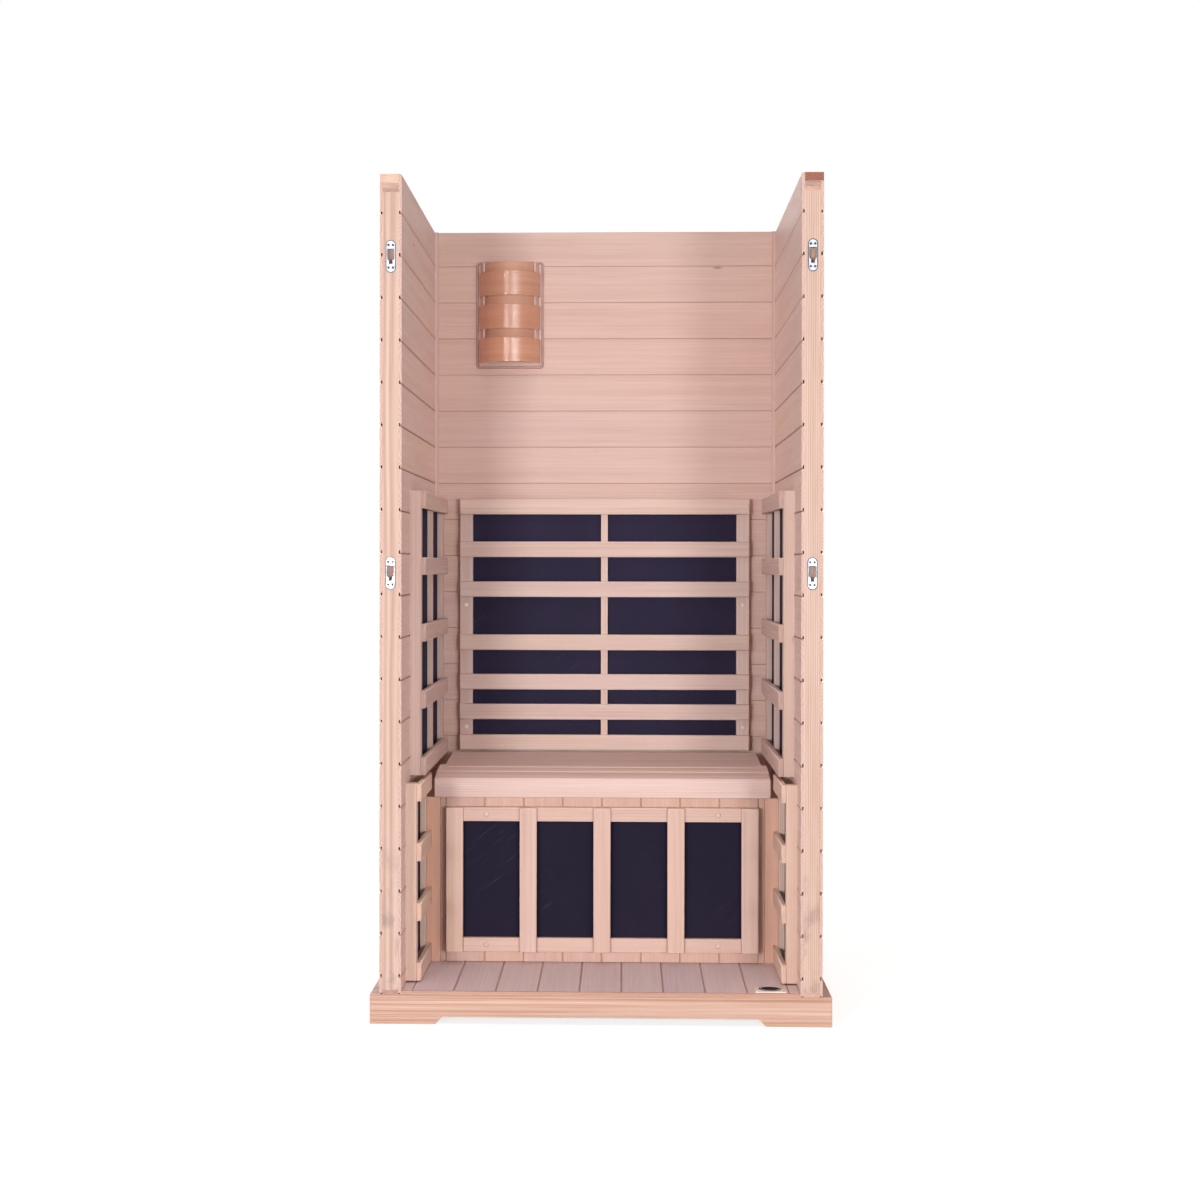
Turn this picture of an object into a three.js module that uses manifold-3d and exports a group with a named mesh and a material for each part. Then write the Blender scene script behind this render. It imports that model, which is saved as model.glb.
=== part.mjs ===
// Infrared sauna cabin, open at the front and the top: a base with a boarded floor, three boarded
// walls, slatted guards over carbon heaters, a bench whose seat draws out, and a wall lamp.
// Millimetres, +Z up, +X to the viewer's right, +Y to the back.
// The origin is the centre of the footprint, on the ground.

import * as THREE from 'three';
import { mergeVertices } from 'three/addons/utils/BufferGeometryUtils.js';
import Module from 'manifold-3d';

const wasm = await Module();
wasm.setup();

// Base and floor
const baseWidth = 990;
const baseDepth = 890;
const baseRailHeight = 48;
const baseRailWidth = 90;
const footHeight = 16;
const footLength = 156;
const floorThickness = 7;
const floorStripWidth = 8;
const floorEdgeGap = 0.5;

// Badge on the floor
const badgeSize = 67;
const badgeCorner = 3;
const badgeThickness = 2;
const badgeDiscDiameter = 48;
const badgeDiscRise = 0.8;
const badgeFrontGap = 4;
const badgeSideGap = 29;

// Walls
const sideReveal = 20.5;
const backReveal = 20;
const wallHeight = 1760;
const boardThickness = 6;
const studThickness = 35;
const studWidth = 60;
const topRailHeight = 19;
const topPlateHeight = 20;
const bottomRailHeight = 9;
const cornerBeadRadius = 8;

// Tongue-and-groove boards
const wallBoardPitch = 91;
const topBoardHeight = 86;
const floorBoardPitch = 90;
const kickBoardPitch = 90;
const grooveWidth = 5;
const grooveDepth = 2.5;

// Keyhole latch plates on the front studs
const latchWidth = 21;
const latchHeight = 70;
const latchThickness = 2;
const latchTopDrop = 177;
const latchBottomRise = 904;
const keyholeWidth = 12;
const keyholeHeight = 20;
const keyholeTaper = 4;
const keyslotWidth = 5;
const keyslotHeight = 6;
const mortiseDepth = 14;
const mortiseMargin = 1.5;

// Heaters and the slatted guards over them
const heaterThickness = 11;
const heaterEdgeGap = 0.5;
const heaterEndMargin = 30;
const backingThickness = 24;
const faceThickness = 11;
const housingDepth = 1;
const stripWidth = 39;
const stripChamfer = 2;
const stileWidth = 32;
const mullionWidth = 17;

// Where the guards stand
const backGuardSideGap = 65;
const backGuardGaps = [38, 36, 60, 94, 61, 68];
const upperGuardSetback = 192;
const upperGuardBackGap = 31;
const upperGuardHeight = 636;
const upperGuardSlats = 5;
const guardStackGap = 9;
const lowerGuardSetback = 96;
const lowerGuardFloorGap = 4;
const lowerGuardRise = 56;
const lowerGuardSlats = 4;
const calfGuardSideGap = 70;
const calfGuardFloorGap = 27.5;
const calfGuardTopGap = 21;
const calfGuardUprights = 5;

// Bench carcass
const kickSetback = 352;
const benchHeight = 380;
const kickThickness = 12;
const kickFloorGap = 1;
const kickFirstBoard = 12;
const kickEndGap = 0.3;
const postThickness = 20;
const postGuardGap = 0.5;
const ledgeWidth = 54.5;
const ledgeHeight = 40;
const ledgeBackGap = 0.5;

// Bench seat: depth of each slat, and the height of its front and back edges above the carcass
const seatOverhang = 14;
const seatEndGap = 6.5;
const seatBackGap = 17;
const seatRestGap = 0.3;
const seatSlatThickness = 20;
const seatSlatGap = 3;
const seatEdgeRound = 3;
const fasciaThickness = 22;
const fasciaHeight = 33;
const fasciaBevel = 6;
const noseDepth = 57;
const noseFrontRise = 44.5;
const noseBackRise = 54.5;
const narrowSlatDepth = 50;
const narrowSlatRises = [[55, 60.5], [61, 62]];
const backSlatFrontRise = 56;
const backSlatBackRise = 68;
const backSlatInset = 8;
const bearerWidth = 36;

// Wall lamp
const lampWidth = 170;
const lampHeight = 268;
const lampCorner = 9;
const lampTopDrop = 75;
const lampSideGap = 104;
const lampPlateThickness = 6;
const lampLip = 6;
const lampPanelRise = 3;
const lampSlatChord = 154;
const lampSlatBow = 65;
const lampSlatHeight = 60;
const lampSlatPitch = 83;
const lampSlatBase = 12;
const lampVeneer = 3;
const shadeInset = 9;
const shadeRise = 19;
const shadeHeight = 243;
const lampRailDepth = 22;
const lampSeatGap = 0.3;
const lampShelf = 4;
const lampShelfRise = 34;
const lampShelfWidth = 44;
const holderRadius = 17;
const holderHeight = 42;
const bulbRadius = 20;
const bulbPlateGap = 2;
const bulbNeckRadius = 12;
const bulbLength = 86;

// Places that follow from the sizes above
const wallThickness = studThickness + 2 * boardThickness;
const innerHalf = baseWidth / 2 - sideReveal - wallThickness;
const outerHalf = baseWidth / 2 - sideReveal;
const baseFront = -baseDepth / 2;
const wallFront = baseFront + latchThickness;
const wallBack = baseDepth / 2 - backReveal;
const innerBack = wallBack - wallThickness;
const wallBottom = footHeight + baseRailHeight;
const wallTop = wallBottom + wallHeight;
const floorTop = wallBottom + floorThickness;
const guardDepth = backingThickness + faceThickness;
const lowerGuardFront = baseFront + lowerGuardSetback;
const kickFace = baseFront + kickSetback;
const lowerGuardBack = kickFace - postGuardGap;
const benchTop = floorTop + benchHeight;
const lowerGuardHeight = benchHeight + lowerGuardRise - lowerGuardFloorGap;

const X = new THREE.Vector3(1, 0, 0);
const Y = new THREE.Vector3(0, 1, 0);
const Z = new THREE.Vector3(0, 0, 1);

const finishes = {
  softwood: { color: 0xdcb8a4, roughness: 0.62, metalness: 0 },
  laminate: { color: 0xdcb394, roughness: 0.6, metalness: 0 },
  veneer: { color: 0xc08d73, roughness: 0.35, metalness: 0 },
  carbon: { color: 0x2a2637, roughness: 0.5, metalness: 0 },
  zinc: { color: 0xe4e6ea, roughness: 0.28, metalness: 0.9 },
  badge: { color: 0xe9ddd2, roughness: 0.4, metalness: 0 },
  porcelain: { color: 0xf2efe8, roughness: 0.3, metalness: 0 },
  glass: { color: 0xf6f1e4, roughness: 0.15, metalness: 0 },
};

// A named mesh with its own material, added to a group.
function addPart(group, name, geometry, finish) {
  const mesh = new THREE.Mesh(geometry, new THREE.MeshStandardMaterial(finishes[finish]));
  mesh.name = name;
  group.add(mesh);
  return mesh;
}

// Stands an object at a point, with its own x and y along two directions.
function place(object, origin, xAxis, yAxis) {
  const zAxis = new THREE.Vector3().crossVectors(xAxis, yAxis);
  object.quaternion.setFromRotationMatrix(new THREE.Matrix4().makeBasis(xAxis, yAxis, zAxis));
  object.position.set(...origin);
}

// A rectangular block between two corners.
function blockGeometry(low, high) {
  const size = high.map((value, i) => value - low[i]);
  const centre = high.map((value, i) => (value + low[i]) / 2);
  return new THREE.BoxGeometry(...size).translate(...centre);
}

function outlineShape(points) {
  return new THREE.Shape(points.map(([u, v]) => new THREE.Vector2(u, v)));
}

// A shape given in y and z, drawn out along x from 0 to its length.
function prismAlongX(shape, length) {
  const turn = new THREE.Matrix4().makeBasis(Y, Z, X);
  return new THREE.ExtrudeGeometry(shape, { depth: length, bevelEnabled: false }).applyMatrix4(turn);
}

// A shape given in x and z, drawn out along y from 0 to its length.
function prismAlongY(shape, length, curveSegments = 12) {
  const turn = new THREE.Matrix4().makeBasis(X, Z, Y.clone().negate());
  const options = { depth: length, bevelEnabled: false, curveSegments };
  return new THREE.ExtrudeGeometry(shape, options).applyMatrix4(turn).translate(0, length, 0);
}

function prismAlongZ(shape, length, curveSegments = 6) {
  return new THREE.ExtrudeGeometry(shape, { depth: length, bevelEnabled: false, curveSegments });
}

function toSolid(geometry) {
  const bare = geometry.clone();
  bare.deleteAttribute('normal');
  bare.deleteAttribute('uv');
  const welded = mergeVertices(bare);
  return new wasm.Manifold(new wasm.Mesh({
    numProp: 3,
    vertProperties: new Float32Array(welded.attributes.position.array),
    triVerts: new Uint32Array(welded.index.array),
  }));
}

function toGeometry(solid) {
  const mesh = solid.getMesh();
  const geometry = new THREE.BufferGeometry();
  geometry.setAttribute('position', new THREE.BufferAttribute(mesh.vertProperties, 3));
  geometry.setIndex(new THREE.BufferAttribute(mesh.triVerts, 1));
  geometry.computeVertexNormals();
  return geometry;
}

function joined(geometries) {
  return toGeometry(geometries.map(toSolid).reduce((whole, piece) => whole.add(piece)));
}

function cut(geometry, tools) {
  return toGeometry(tools.map(toSolid).reduce((left, tool) => left.subtract(tool), toSolid(geometry)));
}

function roundedRectangle(width, height, radius) {
  const shape = new THREE.Shape();
  const right = width / 2 - radius;
  const top = height / 2 - radius;
  shape.absarc(right, top, radius, 0, Math.PI / 2);
  shape.absarc(-right, top, radius, Math.PI / 2, Math.PI);
  shape.absarc(-right, -top, radius, Math.PI, 1.5 * Math.PI);
  shape.absarc(right, -top, radius, 1.5 * Math.PI, 2 * Math.PI);
  shape.closePath();
  return shape;
}

// Boards laid edge to edge as one panel: they run along x and stack along y from 0 to height.
// The face that looks along z has a V-groove at each joint.
function boardedPanel(boardLength, height, thickness, joints) {
  const points = [[0, 0], [height, 0], [height, thickness]];
  const inside = joints.filter((joint) => joint > grooveWidth && joint < height - grooveWidth);
  for (const joint of inside.sort((a, b) => b - a)) {
    points.push([joint + grooveWidth / 2, thickness]);
    points.push([joint, thickness - grooveDepth]);
    points.push([joint - grooveWidth / 2, thickness]);
  }
  points.push([0, thickness]);
  return prismAlongX(outlineShape(points), boardLength);
}

// Joint positions across a width at a given pitch, starting at the first joint.
function jointsFrom(first, pitch, width) {
  const count = Math.max(0, Math.floor((width - first) / pitch) + 1);
  return Array.from({ length: count }, (_, i) => first + i * pitch);
}

// Joint heights of a wall's boards above the wall's bottom, counted down from the wall's top.
function wallJoints() {
  return jointsFrom(topBoardHeight, wallBoardPitch, wallHeight).map((drop) => wallHeight - drop);
}

// A foot under one end of a front or rear rail, with a 45 degree end towards the middle.
function addFoot(group, name, side, low) {
  const outline = outlineShape([
    [0, 0],
    [footLength - footHeight, 0],
    [footLength, footHeight],
    [0, footHeight],
  ]);
  const mesh = addPart(group, name, prismAlongY(outline, baseRailWidth), 'laminate');
  if (side < 0) {
    place(mesh, [-baseWidth / 2, low, 0], X, Y);
  } else {
    place(mesh, [baseWidth / 2, low + baseRailWidth, 0], X.clone().negate(), Y.clone().negate());
  }
}

function makeBase() {
  const base = new THREE.Group();
  const half = baseWidth / 2;
  const inner = half - baseRailWidth;
  const rear = baseDepth / 2;
  const rails = {
    base_front_rail: [[-half, -rear], [half, -rear + baseRailWidth]],
    base_rear_rail: [[-half, rear - baseRailWidth], [half, rear]],
    base_left_rail: [[-half, -rear + baseRailWidth], [-inner, rear - baseRailWidth]],
    base_right_rail: [[inner, -rear + baseRailWidth], [half, rear - baseRailWidth]],
    base_middle_rail: [[-inner, -baseRailWidth / 2], [inner, baseRailWidth / 2]],
  };
  for (const [name, [low, high]] of Object.entries(rails)) {
    addPart(base, name, blockGeometry([...low, footHeight], [...high, wallBottom]), 'laminate');
  }
  addFoot(base, 'foot_front_left', -1, -rear);
  addFoot(base, 'foot_front_right', 1, -rear);
  addFoot(base, 'foot_rear_left', -1, rear - baseRailWidth);
  addFoot(base, 'foot_rear_right', 1, rear - baseRailWidth);
  return base;
}

function makeFloor() {
  const floor = new THREE.Group();
  const half = innerHalf - floorEdgeGap;
  const back = innerBack - floorEdgeGap;
  const stripBack = baseFront + floorStripWidth;
  const first = (half - floorBoardPitch / 2) % floorBoardPitch;
  const joints = jointsFrom(first, floorBoardPitch, 2 * half);
  const panel = boardedPanel(back - stripBack, 2 * half, floorThickness, joints);
  const boards = addPart(floor, 'floor_boards', panel, 'softwood');
  place(boards, [-half, back, wallBottom], Y.clone().negate(), X);
  const strip = blockGeometry([-half, baseFront, wallBottom], [half, stripBack, floorTop]);
  addPart(floor, 'floor_front_strip', strip, 'laminate');
  const plate = prismAlongZ(roundedRectangle(badgeSize, badgeSize, badgeCorner), badgeThickness);
  const disc = new THREE.CylinderGeometry(badgeDiscDiameter / 2, badgeDiscDiameter / 2,
    badgeThickness + badgeDiscRise, 40);
  disc.rotateX(Math.PI / 2).translate(0, 0, (badgeThickness + badgeDiscRise) / 2);
  const badge = addPart(floor, 'floor_badge', joined([plate, disc]), 'badge');
  const badgeX = innerHalf - badgeSideGap - badgeSize / 2;
  badge.position.set(badgeX, stripBack + badgeFrontGap + badgeSize / 2, floorTop);
  return floor;
}

function stadium(width, height) {
  return roundedRectangle(width, height, width / 2);
}

// The keyhole: a hook head enters the wide upper window and drops into the slot below it.
function keyholePath() {
  const wide = keyholeWidth / 2;
  const narrow = keyslotWidth / 2;
  const top = (keyholeHeight + keyholeTaper + keyslotHeight) / 2;
  const shoulder = top - keyholeHeight;
  const neck = shoulder - keyholeTaper;
  const bottom = neck - keyslotHeight;
  return new THREE.Path([
    new THREE.Vector2(-wide, top),
    new THREE.Vector2(-wide, shoulder),
    new THREE.Vector2(-narrow, neck),
    new THREE.Vector2(-narrow, bottom),
    new THREE.Vector2(narrow, bottom),
    new THREE.Vector2(narrow, neck),
    new THREE.Vector2(wide, shoulder),
    new THREE.Vector2(wide, top),
  ]);
}

function latchHeights() {
  return { upper: wallTop - latchTopDrop, lower: wallBottom + latchBottomRise };
}

function addLatchPlates(group, sideName, side) {
  const shape = stadium(latchWidth, latchHeight);
  shape.holes.push(keyholePath());
  const middle = side * (innerHalf + wallThickness / 2);
  for (const [level, height] of Object.entries(latchHeights())) {
    const plate = prismAlongZ(shape, latchThickness);
    const mesh = addPart(group, `${sideName}_${level}_latch_plate`, plate, 'zinc');
    place(mesh, [middle, wallFront, height], X, Z);
  }
}

// The front stud has a mortise behind each keyhole, for the hook.
function frontStudGeometry() {
  const low = wallBottom + bottomRailHeight;
  const high = wallTop - topRailHeight - topPlateHeight;
  const stud = blockGeometry([-studThickness / 2, wallFront, low],
    [studThickness / 2, wallFront + studWidth, high]);
  const half = keyholeWidth / 2 + mortiseMargin;
  const rise = (keyholeHeight + keyholeTaper + keyslotHeight) / 2 + mortiseMargin;
  const mortises = Object.values(latchHeights()).map((height) => blockGeometry(
    [-half, wallFront - mortiseMargin, height - rise],
    [half, wallFront + mortiseDepth, height + rise],
  ));
  return cut(stud, mortises);
}

// Rails and studs inside a side wall, behind the front stud, glued up as one frame.
function sideFrameGeometry() {
  const half = studThickness / 2;
  const plateTop = wallTop - topRailHeight;
  const plateBottom = plateTop - topPlateHeight;
  const railTop = wallBottom + bottomRailHeight;
  const middle = (wallFront + innerBack) / 2;
  const stud = (y) => blockGeometry([-half, y, railTop - housingDepth],
    [half, y + studWidth, plateBottom + housingDepth]);
  return joined([
    blockGeometry([-half, wallFront, wallBottom], [half, innerBack, railTop]),
    blockGeometry([-half, wallFront, plateBottom], [half, innerBack, plateTop]),
    stud(innerBack - studWidth),
    stud(middle - studWidth / 2),
  ]);
}

function makeSideWall(sideName, side) {
  const wall = new THREE.Group();
  const middle = side * (innerHalf + wallThickness / 2);
  const length = innerBack - wallFront;
  addPart(wall, `${sideName}_wall_frame`, sideFrameGeometry(), 'softwood').position.x = middle;
  addPart(wall, `${sideName}_wall_front_stud`, frontStudGeometry(), 'laminate').position.x = middle;
  const railInner = side * (innerHalf + boardThickness);
  const railOuter = side * outerHalf;
  const rail = blockGeometry(
    [Math.min(railInner, railOuter), wallFront, wallTop - topRailHeight],
    [Math.max(railInner, railOuter), innerBack, wallTop],
  );
  addPart(wall, `${sideName}_wall_top_rail`, rail, 'laminate');
  const inward = Y.clone().multiplyScalar(-side);
  const outward = inward.clone().negate();
  const innerStart = side < 0 ? wallFront : innerBack;
  const outerStart = side < 0 ? innerBack : wallFront;
  const innerPanel = boardedPanel(length, wallHeight, boardThickness, wallJoints());
  const inner = addPart(wall, `${sideName}_wall_inner_boards`, innerPanel, 'softwood');
  place(inner, [side * (innerHalf + boardThickness), innerStart, wallBottom], inward, Z);
  const outerPanel = boardedPanel(length, wallHeight - topRailHeight, boardThickness, wallJoints());
  const outer = addPart(wall, `${sideName}_wall_outer_boards`, outerPanel, 'softwood');
  place(outer, [side * (outerHalf - boardThickness), outerStart, wallBottom], outward, Z);
  addLatchPlates(wall, sideName, side);
  return wall;
}

// Rails and studs inside the back wall, glued up as one frame.
function backFrameGeometry() {
  const low = innerBack + boardThickness;
  const high = wallBack - boardThickness;
  const railTop = wallBottom + bottomRailHeight;
  const plateBottom = wallTop - topRailHeight;
  const stud = (x) => blockGeometry([x - studWidth / 2, low, railTop - housingDepth],
    [x + studWidth / 2, high, plateBottom + housingDepth]);
  return joined([
    blockGeometry([-outerHalf, low, wallBottom], [outerHalf, high, railTop]),
    blockGeometry([-outerHalf, low, plateBottom], [outerHalf, high, wallTop]),
    stud(-outerHalf + studWidth / 2),
    stud(0),
    stud(outerHalf - studWidth / 2),
  ]);
}

function addCornerBead(group, name, side) {
  const shape = new THREE.Shape();
  shape.moveTo(0, 0);
  shape.absarc(0, 0, cornerBeadRadius, 0, Math.PI / 2);
  shape.closePath();
  const bead = addPart(group, name, prismAlongZ(shape, wallTop - floorTop), 'softwood');
  bead.position.set(side * innerHalf, innerBack, floorTop);
  bead.rotation.z = side < 0 ? -Math.PI / 2 : Math.PI;
}

function makeBackWall() {
  const wall = new THREE.Group();
  addPart(wall, 'back_wall_frame', backFrameGeometry(), 'softwood');
  const panel = () => boardedPanel(2 * outerHalf, wallHeight, boardThickness, wallJoints());
  const inner = addPart(wall, 'back_wall_inner_boards', panel(), 'softwood');
  place(inner, [-outerHalf, innerBack + boardThickness, wallBottom], X, Z);
  const outer = addPart(wall, 'back_wall_outer_boards', panel(), 'softwood');
  place(outer, [outerHalf, wallBack - boardThickness, wallBottom], X.clone().negate(), Z);
  addCornerBead(wall, 'corner_bead_left', -1);
  addCornerBead(wall, 'corner_bead_right', 1);
  return wall;
}

// Section of a strip whose two front edges are eased.
function stripSection(start, width, back, front) {
  const end = start + width;
  return outlineShape([
    [start, back],
    [end, back],
    [end, front - stripChamfer],
    [end - stripChamfer, front],
    [start + stripChamfer, front],
    [start, front - stripChamfer],
  ]);
}

function horizontalStrip(length, bottom, width, back, front) {
  return prismAlongX(stripSection(bottom, width, back, front), length);
}

function verticalStrip(height, left, width, back, front) {
  return prismAlongY(stripSection(left, width, back, front), height);
}

// A heater in a guard of upright stiles with slats nailed across their fronts.
// Local x runs across the wall, y up and z out of the wall.
function makeSlattedHeater(name, width, height, slatBottoms, hasMullion) {
  const unit = new THREE.Group();
  const members = slatBottoms.map((bottom) => horizontalStrip(width, bottom, stripWidth,
    backingThickness - housingDepth, guardDepth));
  members.push(verticalStrip(height, 0, stileWidth, 0, backingThickness));
  members.push(verticalStrip(height, width - stileWidth, stileWidth, 0, backingThickness));
  if (hasMullion) {
    const left = (width - mullionWidth) / 2;
    const back = heaterThickness + heaterEdgeGap;
    members.push(verticalStrip(height, left, mullionWidth, back, backingThickness));
  }
  addPart(unit, `${name}_guard`, joined(members), 'softwood');
  const side = stileWidth + heaterEdgeGap;
  const sheet = blockGeometry([side, heaterEndMargin, 0],
    [width - side, height - heaterEndMargin, heaterThickness]);
  addPart(unit, `${name}_heater`, sheet, 'carbon');
  return unit;
}

// Slats at an even pitch over a height, given by their bottom edges.
function evenSlats(count, height) {
  const pitch = (height - stripWidth) / (count - 1);
  return Array.from({ length: count }, (_, i) => i * pitch);
}

// Slats from the bottom up with a given gap above each.
function gappedSlats(gaps) {
  const bottoms = [0];
  for (const gap of gaps) {
    bottoms.push(bottoms.at(-1) + stripWidth + gap);
  }
  return bottoms;
}

function makeWallHeaters() {
  const heaters = new THREE.Group();
  const lowerBottom = floorTop + lowerGuardFloorGap;
  const upperBottom = lowerBottom + lowerGuardHeight + guardStackGap;
  const upperFront = baseFront + upperGuardSetback;
  const upperBack = innerBack - upperGuardBackGap;
  const levels = {
    upper: [upperFront, upperBack, upperBottom, upperGuardHeight, upperGuardSlats, true],
    lower: [lowerGuardFront, lowerGuardBack, lowerBottom, lowerGuardHeight, lowerGuardSlats, false],
  };
  for (const [level, [front, back, bottom, height, count, hasMullion]] of Object.entries(levels)) {
    const slats = evenSlats(count, height);
    const left = makeSlattedHeater(`left_${level}`, back - front, height, slats, hasMullion);
    place(left, [-innerHalf, front, bottom], Y, Z);
    const right = makeSlattedHeater(`right_${level}`, back - front, height, slats, hasMullion);
    place(right, [innerHalf, back, bottom], Y.clone().negate(), Z);
    heaters.add(left, right);
  }
  const backSlats = gappedSlats(backGuardGaps);
  const backHeight = backSlats.at(-1) + stripWidth;
  const backHalf = innerHalf - backGuardSideGap;
  const back = makeSlattedHeater('back', 2 * backHalf, backHeight, backSlats, true);
  place(back, [-backHalf, innerBack, upperBottom + upperGuardHeight - backHeight], X, Z);
  heaters.add(back);
  return heaters;
}

// The heater on the kick panel: two rails with flat uprights across their fronts.
function makeCalfHeater() {
  const unit = new THREE.Group();
  const half = innerHalf - calfGuardSideGap;
  const width = 2 * half;
  const height = benchHeight - calfGuardFloorGap - calfGuardTopGap;
  const pitch = (width - stripWidth) / (calfGuardUprights - 1);
  const members = [0, height - stileWidth].map((bottom) => horizontalStrip(width, bottom, stileWidth,
    0, backingThickness));
  for (let i = 0; i < calfGuardUprights; i += 1) {
    members.push(verticalStrip(height, i * pitch, stripWidth, backingThickness - housingDepth, guardDepth));
  }
  addPart(unit, 'calf_guard', joined(members), 'softwood');
  const end = stileWidth + heaterEdgeGap;
  const sheet = blockGeometry([heaterEndMargin, end, 0],
    [width - heaterEndMargin, height - end, heaterThickness]);
  addPart(unit, 'calf_heater', sheet, 'carbon');
  place(unit, [-half, kickFace, floorTop + calfGuardFloorGap], X, Z);
  return unit;
}

// End post and side ledge of the bench: the post carries the kick panel's face on to the side wall,
// behind the lower guard, and the ledge runs back from it along the wall.
function addBenchSupport(group, name, side) {
  const inner = innerHalf - ledgeWidth;
  const ledgeBack = innerBack - cornerBeadRadius - ledgeBackGap;
  const [low, high] = [side * inner, side * innerHalf].sort((a, b) => a - b);
  const support = joined([
    blockGeometry([low, kickFace, floorTop], [high, kickFace + postThickness, benchTop]),
    blockGeometry([low, kickFace, benchTop - ledgeHeight], [high, ledgeBack, benchTop]),
  ]);
  addPart(group, name, support, 'softwood');
}

function makeBenchCarcass() {
  const carcass = new THREE.Group();
  addBenchSupport(carcass, 'bench_support_left', -1);
  addBenchSupport(carcass, 'bench_support_right', 1);
  const half = innerHalf - ledgeWidth - kickEndGap;
  const height = benchHeight - kickFloorGap;
  const joints = jointsFrom(kickFirstBoard, kickBoardPitch, 2 * half);
  const panel = boardedPanel(height, 2 * half, kickThickness, joints);
  const kick = addPart(carcass, 'kick_panel', panel, 'softwood');
  place(kick, [-half, kickFace + kickThickness, benchTop], Z.clone().negate(), X);
  return carcass;
}

// Section of a flat seat slat with eased top edges, from its front and back top edges.
function slatSection(front, back, frontRise, backRise) {
  const slope = (backRise - frontRise) / (back - front);
  return outlineShape([
    [front, frontRise - seatSlatThickness],
    [back, backRise - seatSlatThickness],
    [back, backRise - seatEdgeRound],
    [back - seatEdgeRound, backRise - slope * seatEdgeRound],
    [front + seatEdgeRound, frontRise + slope * seatEdgeRound],
    [front, frontRise - seatEdgeRound],
  ]);
}

// Section of the front slat: a fascia with a bevelled nose, and the first strip of the seat behind it.
function noseSection() {
  return outlineShape([
    [0, 0],
    [fasciaThickness, 0],
    [fasciaThickness, noseFrontRise - seatSlatThickness],
    [noseDepth, noseBackRise - seatSlatThickness],
    [noseDepth, noseBackRise - seatEdgeRound],
    [noseDepth - seatEdgeRound, noseBackRise],
    [fasciaBevel, noseFrontRise],
    [0, fasciaHeight],
  ]);
}

// The seat draws forward on the supports: slats of a gently hollowed top on two bearers.
// Local y runs back from the seat's front, z up from the supports.
function makeSeat() {
  const seat = new THREE.Group();
  const seatFront = kickFace - seatOverhang;
  const depth = innerBack - guardDepth - seatBackGap - seatFront;
  const half = innerHalf - guardDepth - seatEndGap;
  const slats = narrowSlatRises.map(([frontRise, backRise], i) => {
    const front = noseDepth + seatSlatGap + i * (narrowSlatDepth + seatSlatGap);
    return { front, back: front + narrowSlatDepth, frontRise, backRise, half };
  });
  slats.push({
    front: slats.at(-1).back + seatSlatGap,
    back: depth,
    frontRise: backSlatFrontRise,
    backRise: backSlatBackRise,
    half: half - backSlatInset,
  });
  const nose = addPart(seat, 'seat_front_slat', prismAlongX(noseSection(), 2 * half), 'softwood');
  nose.position.x = -half;
  const names = ['seat_second_slat', 'seat_third_slat', 'seat_back_slat'];
  slats.forEach((slat, i) => {
    const section = slatSection(slat.front, slat.back, slat.frontRise, slat.backRise);
    const mesh = addPart(seat, names[i], prismAlongX(section, 2 * slat.half), 'softwood');
    mesh.position.x = -slat.half;
  });
  const underside = [
    [fasciaThickness, noseFrontRise - seatSlatThickness],
    [noseDepth, noseBackRise - seatSlatThickness],
  ];
  for (const slat of slats) {
    underside.push([slat.front, slat.frontRise - seatSlatThickness]);
    underside.push([slat.back, slat.backRise - seatSlatThickness]);
  }
  const outline = outlineShape([[fasciaThickness, 0], [depth, 0], ...underside.reverse()]);
  for (const [name, low] of [['seat_bearer_left', -half + backSlatInset],
    ['seat_bearer_right', half - backSlatInset - bearerWidth]]) {
    addPart(seat, name, prismAlongX(outline, bearerWidth), 'softwood').position.x = low;
  }
  seat.position.set(0, seatFront, benchTop + seatRestGap);
  return seat;
}

// Section of a bent strip between two radii about the lamp's bending axis.
function bentSection(axisDepth, inner, outer, from, to) {
  const shape = new THREE.Shape();
  shape.absarc(0, axisDepth, outer, from, to, false);
  shape.absarc(0, axisDepth, inner, to, from, true);
  shape.closePath();
  return shape;
}

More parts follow.
